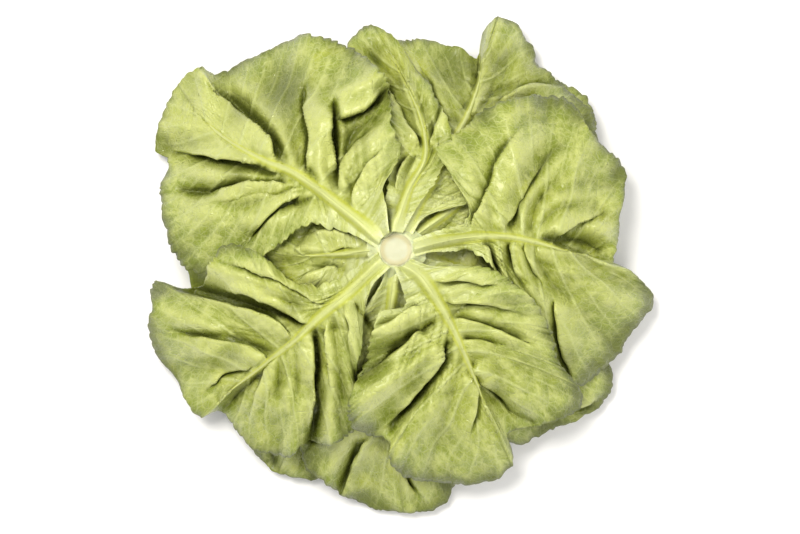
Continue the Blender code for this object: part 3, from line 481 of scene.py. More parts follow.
# Edges of folds: the blade is raised on one side of a line and drops away on the other, left or right as seen
# along the line: raised height and width, depth and width of the drop, side that is raised, and the line in plan.
FOLD_EDGES = {
    "outer_leaf_back_left": [
        (7, 12, 15, 5, 1, [(-65, 47), (-67, 52), (-70, 61), (-77, 68), (-87, 76), (-100, 88), (-109, 100)]),
        (6, 10, 13, 5, -1, [(-62, 42), (-79, 48), (-91, 52), (-105, 53), (-121, 55)]),
        (5, 6, 12, 4, -1, [(-48, 41), (-47, 53), (-47, 64), (-49, 75), (-50, 87)]),
        (5, 6, 12, 3, 1, [(-33, 43), (-34, 53), (-36, 67), (-35, 81)]),
        (6, 10, 13, 4.5, 1, [(-32, 72), (-25, 74), (-15, 79), (-6, 87)]),
        (4, 5, 8, 3, -1, [(-31, 32), (-28, 47), (-22, 57), (-12, 66)]),
        (5, 8, 11, 4, 1, [(-59, 36), (-74, 36), (-88, 35), (-103, 31)]),
        (3, 4, 6, 2, 1, [(-53, 34), (-65, 30), (-79, 28), (-97, 25)]),
        (4, 8, 11, 4, -1, [(-52, 29), (-63, 25), (-73, 17), (-80, 6)]),
        (4, 5, 7, 3, -1, [(-24, 20), (-22, 33), (-15, 45), (-7, 55)]),
        (3, 4, 6, 2.5, 1, [(-55, 25), (-63, 20), (-74, 10)]),
        (3, 5, 6, 3, 1, [(-41, 14), (-47, 10), (-55, 0)]),
    ],
    "outer_leaf_front_left": [
        (6, 12, 15, 5, 1, [(-57, -48), (-66, -40), (-74, -35), (-92, -31), (-105, -27), (-120, -23)]),
        (6, 8, 12, 3.5, -1, [(-45, -41), (-59, -35), (-80, -25), (-100, -20)]),
        (4, 6, 14, 4, -1, [(-46, -46), (-46, -61), (-46, -82), (-48, -105)]),
        (4, 6, 10, 3, 1, [(-38, -43), (-37, -56), (-36, -72)]),
        (3, 6, 8, 4, 1, [(-69, -61), (-82, -54), (-101, -51), (-121, -46)]),
        (4, 6, 8, 3, -1, [(-36, -30), (-53, -22), (-74, -12), (-94, -7)]),
        (4, 5, 8, 3, 1, [(-28, -28), (-24, -41), (-25, -55)]),
        (3, 6, 8, 3, 1, [(-64, -55), (-74, -72), (-79, -88)]),
        (3, 5, 7, 3, -1, [(-79, -64), (-94, -67), (-105, -77)]),
    ],
    "outer_leaf_front_right": [
        (5, 10, 12, 4.5, -1, [(26, -52), (23, -61), (10, -79), (-2, -94)]),
        (4, 9, 10, 4, 1, [(40, -63), (47, -72), (56, -79), (63, -87)]),
        (4, 8, 12, 4, 1, [(15, -44), (4, -53), (-9, -63)]),
        (3, 6, 5, 3, -1, [(35, -48), (45, -51), (57, -52)]),
        (3, 5, 6, 3, 1, [(20, -18), (35, -16), (57, -20)]),
        (4, 6, 8, 3, 1, [(25, -28), (44, -28), (68, -34)]),
        (4, 6, 8, 3, -1, [(30, -37), (48, -42), (74, -52)]),
        (3, 5, 7, 3, -1, [(43, -67), (44, -82), (41, -99)]),
        (3, 6, 8, 3, 1, [(13, -31), (2, -37), (-13, -44)]),
    ],
    "outer_leaf_right": [
        (5, 10, 13, 5, -1, [(78, 6), (90, 0), (104, -4), (114, -6)]),
        (4, 5, 10, 3, -1, [(48, 3), (51, -6), (57, -14)]),
        (4, 5, 9, 3, 1, [(62, 4), (65, -7), (70, -20)]),
        (4, 5, 9, 3, 1, [(70, 4), (74, -7), (80, -18)]),
        (3, 8, 7, 4, -1, [(41, 12), (50, 30), (57, 50), (68, 66)]),
        (3, 7, 6, 3, 1, [(60, 13), (68, 30), (82, 50)]),
        (4, 8, 9, 4, 1, [(88, 8), (98, 15), (112, 20)]),
        (4, 10, 9, 4, 1, [(88, -28), (91, -50), (97, -72)]),
    ],
    "outer_leaf_back": [
        (4, 7, 9, 4, -1, [(41, 72), (45, 88), (48, 110)]),
        (4, 7, 9, 4, 1, [(28, 66), (19, 82), (13, 99)]),
        (4, 6, 8, 3, -1, [(57, 82), (74, 91), (90, 91)]),
    ],
    "middle_leaf_back": [
        (4, 5, 8, 3, 1, [(13, 55), (4, 72), (-4, 87), (-13, 105)]),
        (4, 5, 9, 3, -1, [(18, 57), (24, 72), (22, 87), (13, 103)]),
        (3, 4, 8, 3, -1, [(4, 30), (8, 44), (13, 52)]),
        (3, 4, 8, 3, -1, [(0, 33), (3, 45), (7, 52)]),
    ],
    "middle_leaf_left": [
        (4, 5, 9, 3.5, 1, [(-37, -2), (-28, 2), (-16, -1)]),
        (4, 5, 8, 3, 1, [(-24, 8), (-36, 10), (-48, 8)]),
        (3, 5, 7, 3, 1, [(-31, -11), (-44, -12), (-55, -18)]),
    ],
    "middle_leaf_front": [
        (4, 7, 9, 4, 1, [(-15, -105), (-24, -120), (-31, -138)]),
        (3, 6, 7, 3, -1, [(-3, -110), (4, -127), (13, -138)]),
    ],
    "middle_leaf_front_right": [
        (3, 6, 7, 3, 1, [(90, -82), (101, -88), (112, -82)]),
    ],
    "middle_leaf_back_right": [
        (3, 4, 7, 3, -1, [(19, 16), (28, 25), (36, 33)]),
    ],
}

# Broad hollows, painted a deeper green as shade, and places with a painted satin highlight: a point in plan, radius,
# depth and share of the painted shade, less than nothing for the painted highlight.
HOLLOWS = {
    "outer_leaf_back_left": [
        ((-61, 88), 16, 6, 0.95),
        ((-85, 78), 8, 4, 0.8),
        ((-24, 62), 9, 4, 0.6),
        ((-87, 43), 8, 4, 0.7),
        ((-41, 72), 6, -3, 0),
        ((-110, 33), 8, 3, 0.35),
        ((-13, 72), 5, 2, 0.3),
        ((-105, 76), 22, 0, -1),
        ((-88, 61), 12, 0, -1),
    ],
    "outer_leaf_right": [
        ((100, 2), 9, 4, 0.55),
        ((94, -61), 8, 4, 0.6),
        ((82, -10), 5, 2, 0.35),
        ((62, -7), 5, 3, 0.4),
        ((68, 28), 7, 3, 0.3),
    ],
    "outer_leaf_front_right": [
        ((13, -76), 7, 4, 0.45),
        ((57, -78), 7, 4, 0.45),
        ((34, -28), 6, 2, 0.2),
        ((28, -105), 7, 2, 0.25),
        ((74, -44), 14, 0, -0.8),
    ],
    "outer_leaf_front_left": [
        ((-55, -28), 7, 4, 0.7),
        ((-43, -76), 6, 4, 0.6),
        ((-114, -18), 8, 3, 0.7),
        ((-90, -58), 8, 3, 0.4),
        ((-69, -94), 8, 2, 0.3),
    ],
    "outer_leaf_back": [
        ((33, 101), 16, 3, 0.8),
        ((79, 97), 14, 3, 0.6),
        ((57, 105), 10, 3, 0.6),
        ((101, 77), 8, 2, 0.5),
    ],
    "middle_leaf_back": [
        ((-13, 109), 8, 4, 0.55),
        ((13, 77), 6, 4, 0.5),
        ((2, 91), 7, 3, 0.4),
    ],
    "middle_leaf_left": [
        ((-53, 8), 6, 3, 0.4),
        ((-28, -1), 7, 4, 0.6),
    ],
    "middle_leaf_front": [
        ((-25, -121), 11, 3, 0.4),
        ((-42, -113), 8, 3, 0.4),
    ],
    "middle_leaf_front_right": [
        ((90, -88), 11, 3, 0.4),
    ],
}


def linear(hex_colour):
    """An sRGB hex colour as the linear RGBA that Blender's settings hold."""
    values = [int(hex_colour[k:k + 2], 16) / 255 for k in (0, 2, 4)]
    return (*(v / 12.92 if v <= 0.04045 else ((v + 0.055) / 1.055) ** 2.4 for v in values), 1.0)


def length_setting(name, description, default):
    return FloatProperty(name=name, description=description, default=default, unit="LENGTH", subtype="DISTANCE")


def colour_setting(name, description, hex_colour):
    return FloatVectorProperty(
        name=name, description=description, default=linear(hex_colour), size=4, min=0, max=1, subtype="COLOR"
    )


class LettuceLeafSettings(bpy.types.PropertyGroup):
    blade: length_setting("Blade", "Thickness of a leaf's blade", 0.0007)
    air: length_setting("Air", "Gap kept between a leaf and those beneath it", 0.0005)
    outer_rows: IntProperty(name="Outer rows", description="Veins of an outer leaf's mesh on each side", default=260)
    outer_columns: IntProperty(name="Outer columns", description="Points from midrib to edge", default=48)
    middle_rows: IntProperty(name="Middle rows", description="Veins of a middle leaf's mesh on each side", default=150)
    middle_columns: IntProperty(name="Middle columns", description="Points from midrib to edge", default=36)
    inner_rows: IntProperty(name="Inner rows", description="Veins of an inner leaf's mesh on each side", default=56)
    inner_columns: IntProperty(name="Inner columns", description="Points from midrib to edge", default=26)
    vein_gap: length_setting("Vein gap", "Gap between side veins where they leave the midrib", 0.0095)
    vein_height: length_setting("Vein height", "How far a side vein stands out of the blade", 0.0006)
    blister_size: length_setting("Blister size", "Width of the puffed tissue between veins", 0.0085)
    blister_height: length_setting("Blister height", "How far the tissue between veins puffs out", 0.0011)
    ruffle_size: length_setting("Ruffle size", "Length of one wave of the edge", 0.019)
    pleat_size: length_setting("Pleat size", "Width of the small pleats that fan from the midrib", 0.014)
    pleat_height: length_setting("Pleat height", "Height of the small pleats that fan from the midrib", 0.0042)
    ruffle_height: length_setting("Ruffle height", "Height of the waves of the edge", 0.0026)
    tooth_size: length_setting("Tooth size", "Gap between the teeth near a leaf's foot", 0.0055)
    tooth_reach: length_setting("Tooth reach", "How far the teeth stand out of the edge", 0.0036)
    flesh: length_setting("Flesh", "Extra thickness of the leaf's foot", 0.0012)
    net_size: length_setting("Net size", "Width of the mesh of fine veins", 0.0038)
    small_net_size: length_setting("Small net size", "Width of the finest mesh of veins", 0.0015)
    blade_colour: colour_setting("Blade", "Outer leaf between midrib and edge", "8C962B")
    edge_colour: colour_setting("Edge", "Outer leaf towards its edge", "7A8823")
    foot_colour: colour_setting("Foot", "Leaf near the stem, where it was blanched", "C8CE9C")
    rib_colour: colour_setting("Midrib", "Midrib and thick veins", "B2B848")
    net_colour: colour_setting("Veins", "Side veins and the net of fine veins", "B4BB74")
    # Painted highlight as well: this colour is laid over crests and satin places, and at random as a pale bloom.
    bloom_and_highlight_colour: colour_setting("Satin", "Bloom on the blade where it catches the light", "BFC476")
    young_colour: colour_setting("Young tissue", "Thin tissue that light shines through", "A2A92C")
    # Painted shade: the darker green laid into folds, valleys and hollows where their shadow falls.
    fold_shade_colour: colour_setting("Folds", "Green of the tissue deep in a fold", "545D17")
    pale_blade_colour: colour_setting("Pale blade", "Leaves of the inner whorl", "ABB25E")
    # This edge colour also serves as the painted shade in the folds of the inner whorl.
    pale_edge_and_shade_colour: colour_setting("Pale edge", "Edges of the inner whorl", "84903A")


class LettuceHeartSettings(bpy.types.PropertyGroup):
    rows: IntProperty(name="Rows", description="Points from foot to tip of a heart leaf", default=64)
    columns: IntProperty(name="Columns", description="Points across a heart leaf", default=56)
    blister_height: length_setting("Blister height", "How far the tissue between veins puffs out", 0.0009)
    blade_colour: colour_setting("Blade", "Leaves of the heart", "D8DA96")
    edge_colour: colour_setting("Edge", "Edges of the heart's leaves", "CBD084")
    rib_colour: colour_setting("Midrib", "Midribs of the heart's leaves", "ECEBC3")


class LettuceStemSettings(bpy.types.PropertyGroup):
    sides: IntProperty(name="Sides", description="Points round the stem", default=120)
    corner: length_setting("Corner", "How far the five soft corners stand out", 0.0009)
    pith_colour: colour_setting("Pith", "Middle of the cut face", "B9BA9C")
    ring_colour: colour_setting("Ring", "Ring of sap vessels round the pith", "B2AC82")
    skin_colour: colour_setting("Skin", "Side of the stem and the web of leaf feet round it", "C9CF9C")


class LettuceStageSettings(bpy.types.PropertyGroup):
    floor_colour: colour_setting("Floor", "Paper that the head lies on", "F7F7F6")
    floor_reach: length_setting("Floor reach", "Half width of the paper", 2.5)
    key_power: FloatProperty(name="Key power", description="Power of the soft light", default=23.5, unit="POWER")
    key_size: length_setting("Key size", "Width of the soft light", 0.6)
    fill_power: FloatProperty(name="Fill power", description="Power of the wide light", default=11.0, unit="POWER")
    fill_size: length_setting("Fill size", "Width of the wide light", 1.6)
    surround: FloatProperty(name="Surround", description="Strength of the light from all round", default=0.66)
    distance: length_setting("Camera distance", "Height of the camera above the middle of the head", 2.5)
    frame_width: length_setting("Frame width", "Width of what the picture shows", 0.44)


def polar(radius, bearing):
    angle = math.radians(bearing)
    return (radius * math.cos(angle), radius * math.sin(angle))


def smooth_line(points, shares):
    """Points at these shares of the length of a smooth line through the given points."""
    points = np.asarray(points, float)
    ends = np.vstack([2 * points[0] - points[1], points, 2 * points[-1] - points[-2]])
    u = np.linspace(0, 1, 12, endpoint=False)[:, None]
    runs = [
        0.5 * (2 * b + (c - a) * u + (2 * a - 5 * b + 4 * c - d) * u**2 + (3 * b - a - 3 * c + d) * u**3)
        for a, b, c, d in zip(ends, ends[1:], ends[2:], ends[3:])
    ]
    line = np.vstack([*runs, points[-1:]])
    length = np.concatenate([[0], np.cumsum(np.linalg.norm(np.diff(line, axis=0), axis=1))])
    return np.column_stack([np.interp(shares * length[-1], length, line[:, k]) for k in (0, 1)])


def eased(shares, knots):
    """Heights at these shares, rounded over each ridge and through each valley."""
    at, height = np.array(knots, float).T
    place = np.clip(np.searchsorted(at, shares, side="right") - 1, 0, len(at) - 2)
    part = (shares - at[place]) / (at[place + 1] - at[place])
    return height[place] + (height[place + 1] - height[place]) * (0.5 - 0.5 * np.cos(np.pi * np.clip(part, 0, 1)))


def smooth_step(low, high, value):
    part = np.clip((value - low) / (high - low), 0, 1)
    return part * part * (3 - 2 * part)


def taper(ends, share):
    return ends[1] + (ends[0] - ends[1]) * (1 - share) ** 1.35


def edge_shares(leaf, side, along):
    """Share of the edge that a vein from each share of the midrib runs to."""
    return np.interp(along, *np.array(leaf.get("veins_" + side, EVEN_VEINS), float).T)


def lumps(points, size, seed):
    """Smooth random heights from -1 to 1 over points, with lumps about this wide."""
    values = np.random.default_rng(seed).uniform(-1, 1, (97, 97))
    place = points / size + 1000 + seed * 0.37
    cell = np.floor(place).astype(int)
    part = place - cell
    part = part * part * (3 - 2 * part)
    i, j = cell[..., 0] % 96, cell[..., 1] % 96
    u, v = part[..., 0], part[..., 1]
    low = values[i, j] * (1 - u) + values[i + 1, j] * u
    high = values[i, j + 1] * (1 - u) + values[i + 1, j + 1] * u
    return low * (1 - v) + high * v


def around(points, run, margin):
    """Which points lie in the box round a line, with a margin."""
    low, high = run.min(axis=0) - margin, run.max(axis=0) + margin
    return np.all((points > low) & (points < high), axis=-1)


def pressed_lines(points, creases):
    """Height that the creases add at each point, and how deep it lies in their valleys."""
    ridge = np.zeros(points.shape[:-1])
    valley = np.zeros(points.shape[:-1])
    for start_height, end_height, start_width, end_width, line in creases:
        run = smooth_line(line, np.linspace(0, 1, 25))
        close = around(points, run, LINE_MARGIN)
        apart = np.linalg.norm(points[close][:, None, :] - run, axis=-1)
        near = apart.argmin(axis=-1)
        share = near / (len(run) - 1)
        away = np.take_along_axis(apart, near[:, None], -1)[:, 0]
        width = start_width + (end_width - start_width) * share
        width *= VALLEY_WIDTH if start_height < 0 else 1.0
        ends = 0.35 + 0.65 * np.sin(np.pi * np.clip(0.12 + 0.8 * share, 0, 1)) ** 0.6
        sharpness = VALLEY_SHARPNESS if start_height < 0 else RIDGE_SHARPNESS
        height = (start_height + (end_height - start_height) * share) * ends * np.exp(-((away / width) ** sharpness))
        height *= CREASE_GAIN * math.sqrt(max(abs(start_height), abs(end_height)) / FULL_CREASE)
        ridge[close] = np.maximum(ridge[close], height)
        valley[close] = np.minimum(valley[close], height)
    return ridge + valley, valley


def folded_edges(points, edges):
    """What the edges of folds do at each point: height, the drop alone, and how far a raised lip hangs over."""
    up = np.zeros(points.shape[:-1])
    lean = np.zeros(points.shape)
    meander = FOLD_MEANDER[0] * lumps(points, FOLD_MEANDER[1], 71)
    uneven = 1 + FOLD_UNEVEN[0] * lumps(points, FOLD_UNEVEN[1], 72)
    down = np.zeros(points.shape[:-1])
    for height, width, drop, drop_width, side, line in edges:
        run = smooth_line(line, np.linspace(0, 1, 40))
        close = around(points, run, LINE_MARGIN)
        apart = points[close][:, None, :] - run
        away = np.linalg.norm(apart, axis=-1)
        near = away.argmin(axis=-1)
        away = np.take_along_axis(away, near[:, None], -1)[:, 0]
        heading = np.gradient(run, axis=0)[near]
        offset = np.take_along_axis(apart, near[:, None, None], -2)[:, 0, :]
        turn = heading[..., 0] * offset[..., 1] - heading[..., 1] * offset[..., 0]
        speed = np.maximum(np.linalg.norm(heading, axis=-1), 1e-6)
        crosswise = turn / speed * side + meander[close]
        share = near / (len(run) - 1)
        ends = smooth_step(0, 0.16, share + 0.04) * (1 - 0.75 * smooth_step(0.7, 1.0, share))
        past_end = np.clip(away - np.abs(crosswise), 0, None)
        ends = ends * np.exp(-((past_end / FOLD_END) ** 2))
        raised = 0.5 + 0.5 * np.tanh(crosswise / FOLD_EDGE_WIDTH)
        ends = ends * uneven[close]
        up[close] = np.maximum(up[close], height * raised * np.exp(-((away / width) ** 2)) * ends)
        down[close] = np.maximum(down[close], drop * (1 - raised) * np.exp(-((away / drop_width) ** 1.6)) * ends)
        towards_drop = np.stack([heading[..., 1], -heading[..., 0]], axis=-1) / speed[..., None] * side
        lip = FOLD_LEAN * raised * np.exp(-((away / FOLD_LIP) ** 2)) * ends
        lean[close] += towards_drop * lip[:, None]
    return up - down, -down, lean


def softened(field, passes):
    """The field blurred along and across its rows, with its border kept."""
    for _ in range(passes):
        wide = np.pad(field, 1, mode="edge")
        field = 0.25 * field + 0.1875 * (wide[:-2, 1:-1] + wide[2:, 1:-1] + wide[1:-1, :-2] + wide[1:-1, 2:])
    return field


class Sheet:
    """A leaf's grid: rows of points from the midrib to the edge, from the left of its foot round its tip."""

    def __init__(self, leaf, rows, columns):
        even = np.linspace(0, 1, 401)
        rim = 0.4 * edge_shares(leaf, "left", even) + 0.4 * edge_shares(leaf, "right", even)
        along = np.interp(np.linspace(0, 1, rows), 0.2 * even + rim, even)
        share = np.linspace(0, 1, columns + 1) ** 1.15
        rib = [polar(FOOT_RADIUS, leaf["bearing"]), *leaf["rib"]]
        halves = []
        for side, turn in (("left", 1), ("right", -1)):
            corner = polar(FOOT_RADIUS, leaf["bearing"] + turn * leaf["half_foot"])
            edge_share = edge_shares(leaf, side, along)
            start = smooth_line(rib, along)
            end = smooth_line([corner, *leaf[side], leaf["tip"]], edge_share)
            reach = end - start
            forward = np.gradient(start, axis=0)
            forward /= np.maximum(np.linalg.norm(forward, axis=1, keepdims=True), 1e-6)
            ahead = (reach * forward).sum(axis=1, keepdims=True)
            bend = start + 0.5 * reach - VEIN_SWEEP * (1 - along[:, None] ** 10) * ahead * forward
            t = share[None, :, None]
            plan = (1 - t) ** 2 * start[:, None] + 2 * t * (1 - t) * bend[:, None] + t**2 * end[:, None]
            fold = eased(edge_share, leaf["folds_" + side])
            halves.append((plan, edge_share, fold, np.full(rows, float(turn))))
        joined = [np.concatenate([a, b[-2::-1]]) for a, b in zip(*halves)]
        self.plan, self.edge_share, self.fold, self.side = joined
        self.along = np.concatenate([along, along[-2::-1]])
        self.across = np.broadcast_to(share, self.plan.shape[:2])
        self.index = np.arange(self.across.size).reshape(self.across.shape)
        self.index[rows:, 0] = self.index[rows - 2::-1, 0]
        steps = np.linalg.norm(np.diff(self.plan, axis=1), axis=2)
        self.from_rib = np.concatenate([np.zeros((len(steps), 1)), np.cumsum(steps, axis=1)], axis=1)
        rim_steps = np.linalg.norm(np.diff(self.plan[:, -1], axis=0), axis=1)
        self.rim = np.concatenate([[0], np.cumsum(rim_steps)])
        rib_steps = np.linalg.norm(np.diff(self.plan[:, 0], axis=0), axis=1)
        self.rib_run = np.concatenate([[0], np.cumsum(rib_steps)])
        self.outward = np.gradient(self.plan, axis=1)
        self.outward /= np.maximum(np.linalg.norm(self.outward, axis=2, keepdims=True), 1e-6)

    def side_veins(self, gap):
        """How near each point is to a side vein, 1 on its crest: every other vein starts part of the way out."""
        run = self.rib_run * 0.5 + self.rim * 0.16
        wander = lumps(np.stack([self.from_rib, np.broadcast_to(run[:, None], self.across.shape)], axis=-1), 22, 5)
        phase = run[:, None] / gap + 0.16 * wander
        spacing = np.linalg.norm(np.gradient(self.plan, axis=0), axis=2)
        per_row = np.maximum(np.abs(np.gradient(phase, axis=0)), 1e-6)
        veins = np.zeros(self.across.shape)
        for shift, first in ((0.0, -1.0), (0.5, 0.42)):
            away = np.abs((phase + shift + 0.5) % 1 - 0.5) / per_row * spacing
            width = 0.95 - 0.4 * self.across
            crest = np.exp(-((away / width) ** 2)) * smooth_step(first, first + 0.25, self.across)
            veins = np.maximum(veins, crest)
        return veins * (1 - 0.75 * self.across**3)


class Pile:
    """How high the pieces laid so far come, in each cell of the plan."""

    def __init__(self, objects):
        cells = int(2 * PILE_REACH / CELL)
        self.top = np.full((cells, cells), EMPTY)
        for obj in objects:
            mesh = obj.data
            mesh.calc_loop_triangles()
            points = np.empty(len(mesh.vertices) * 3)
            mesh.vertices.foreach_get("co", points)
            triangles = np.empty(len(mesh.loop_triangles) * 3, int)
            mesh.loop_triangles.foreach_get("vertices", triangles)
            points = points.reshape(-1, 3) / MM
            triangles = triangles.reshape(-1, 3)
            edge = np.linalg.norm(points[triangles[:, 0]] - points[triangles[:, 1]], axis=1).mean()
            splits = max(2, math.ceil(1.6 * edge / CELL))
            steps = [(i, j) for i in range(splits + 1) for j in range(splits + 1 - i)]
            for i, j in steps:
                weights = np.array([i, j, splits - i - j]) / splits
                where = (weights[:, None] * points[triangles]).sum(axis=1)
                cell = self.cell_of(where)
                np.maximum.at(self.top, (cell[:, 0], cell[:, 1]), where[:, 2])

    def cell_of(self, points):
        cells = ((points[..., :2] + PILE_REACH) / CELL).astype(int)
        return np.clip(cells, 0, len(self.top) - 1)

    def need(self, plan):
        wide = self.top
        for shift, axis in ((1, 0), (-1, 0), (1, 1), (-1, 1)):
            wide = np.maximum(wide, np.roll(self.top, shift, axis))
        cell = self.cell_of(plan)
        return wide[cell[..., 0], cell[..., 1]]


def grid_normals(points):
    """Upward unit normals of a grid of points."""
    along = np.gradient(points, axis=0)
    across = np.gradient(points, axis=1)
    normal = np.cross(across, along)
    normal *= np.sign(normal[..., 2:].mean())
    return normal / np.maximum(np.linalg.norm(normal, axis=-1, keepdims=True), 1e-9)


def mesh_piece(name, points, faces, fields, uv, finish, node):
    """A mesh from points in millimetres, smooth shaded, with its fields and finish, that stands for a CAD node."""
    used, renumbered = np.unique(faces, return_inverse=True)
    faces = renumbered.reshape(faces.shape)
    mesh = bpy.data.meshes.new(name)
    mesh.from_pydata((points[used] * MM).tolist(), [], faces.tolist())
    for key, values in fields.items():
        mesh.attributes.new(key, "FLOAT", "POINT").data.foreach_set("value", values[used].astype(np.float32))
    layer = mesh.uv_layers.new(name="UVMap")
    layer.data.foreach_set("uv", uv[used][faces.ravel()].astype(np.float32).ravel())
    mesh.materials.append(finish)
    mesh.shade_smooth()
    if mesh.validate():
        raise RuntimeError(f"the mesh of {name} had faults")
    obj = bpy.data.objects.new(name, mesh)
    bpy.context.scene.collection.objects.link(obj)
    obj["lettuce_piece"] = True
    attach(obj, "root")
    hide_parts(node)
    return obj


def pieces():
    return [obj for obj in bpy.data.objects if "lettuce_piece" in obj]


def cad_tree(node):
    obj = frame["nodes"][node]
    polygons = [tuple(p.vertices) for p in obj.data.polygons]
    return BVHTree.FromPolygons([v.co for v in obj.data.vertices], polygons)


def cad_heights(node, plan):
    """Height of the CAD leaf's upper face over each plan point, in millimetres, and not a number where it has none."""
    tree = cad_tree(node)
    down = Vector((0, 0, -1))
    heights = np.full(plan.shape[:2], np.nan)
    for r in range(plan.shape[0]):
        for c in range(plan.shape[1]):
            hit = tree.ray_cast(Vector((plan[r, c, 0] * MM, plan[r, c, 1] * MM, 0.3)), down)[0]
            if hit is not None:
                heights[r, c] = hit.z / MM
    return heights


def filled(field):
    """The field with its gaps taken from the nearest point nearer to the midrib, then from the next row."""
    field = field.copy()
    for c in range(1, field.shape[1]):
        gap = np.isnan(field[:, c])
        field[gap, c] = field[gap, c - 1]
    for c in range(field.shape[1] - 2, -1, -1):
        gap = np.isnan(field[:, c])
        field[gap, c] = field[gap, c + 1]
    rows = np.arange(len(field))
    for c in range(field.shape[1]):
        good = ~np.isnan(field[:, c])
        field[:, c] = np.interp(rows, rows[good], field[good, c])
    return field


def held_up(height, lowest):
    """The heights, levelled out softly above the lowest."""
    return lowest + LOW_BEND * np.logaddexp(0, (height - lowest) / LOW_BEND)


def hollows_at(node, plan):
    """What the hollows and satin places of a leaf give each point: depth, painted shade and painted highlight."""
    down, green, satin = (np.zeros(plan.shape[:2]) for _ in range(3))
    for middle, radius, depth, tone in HOLLOWS.get(node, []):
        share = np.exp(-((np.linalg.norm(plan - middle, axis=-1) / radius) ** 2.4))
        down = down + depth * share
        green = np.maximum(green, tone * share)
        satin = np.maximum(satin, -tone * share)
    return down, green, satin


def thick_piece(node, upper, lower, index, fields, uv, finish):
    """The piece that stands for a CAD leaf, from the grids of its upper and its lower side."""
    count = index.size
    quads = np.stack([index[:-1, :-1], index[:-1, 1:], index[1:, 1:], index[1:, :-1]], axis=-1).reshape(-1, 4)
    faces = np.vstack([quads, quads[:, ::-1] + count, edge_walls(quads, count)])
    solid = np.vstack([upper.reshape(-1, 3), lower.reshape(-1, 3)])
    if signed_volume(solid, faces) < 0:
        faces = faces[:, ::-1]
    fields = {key: np.tile(np.broadcast_to(values, index.shape).ravel(), 2) for key, values in fields.items()}
    uv = np.tile(uv.reshape(-1, 2) * MM, (2, 1))
    return mesh_piece(node + "_look", solid, faces, fields, uv, finish, node)


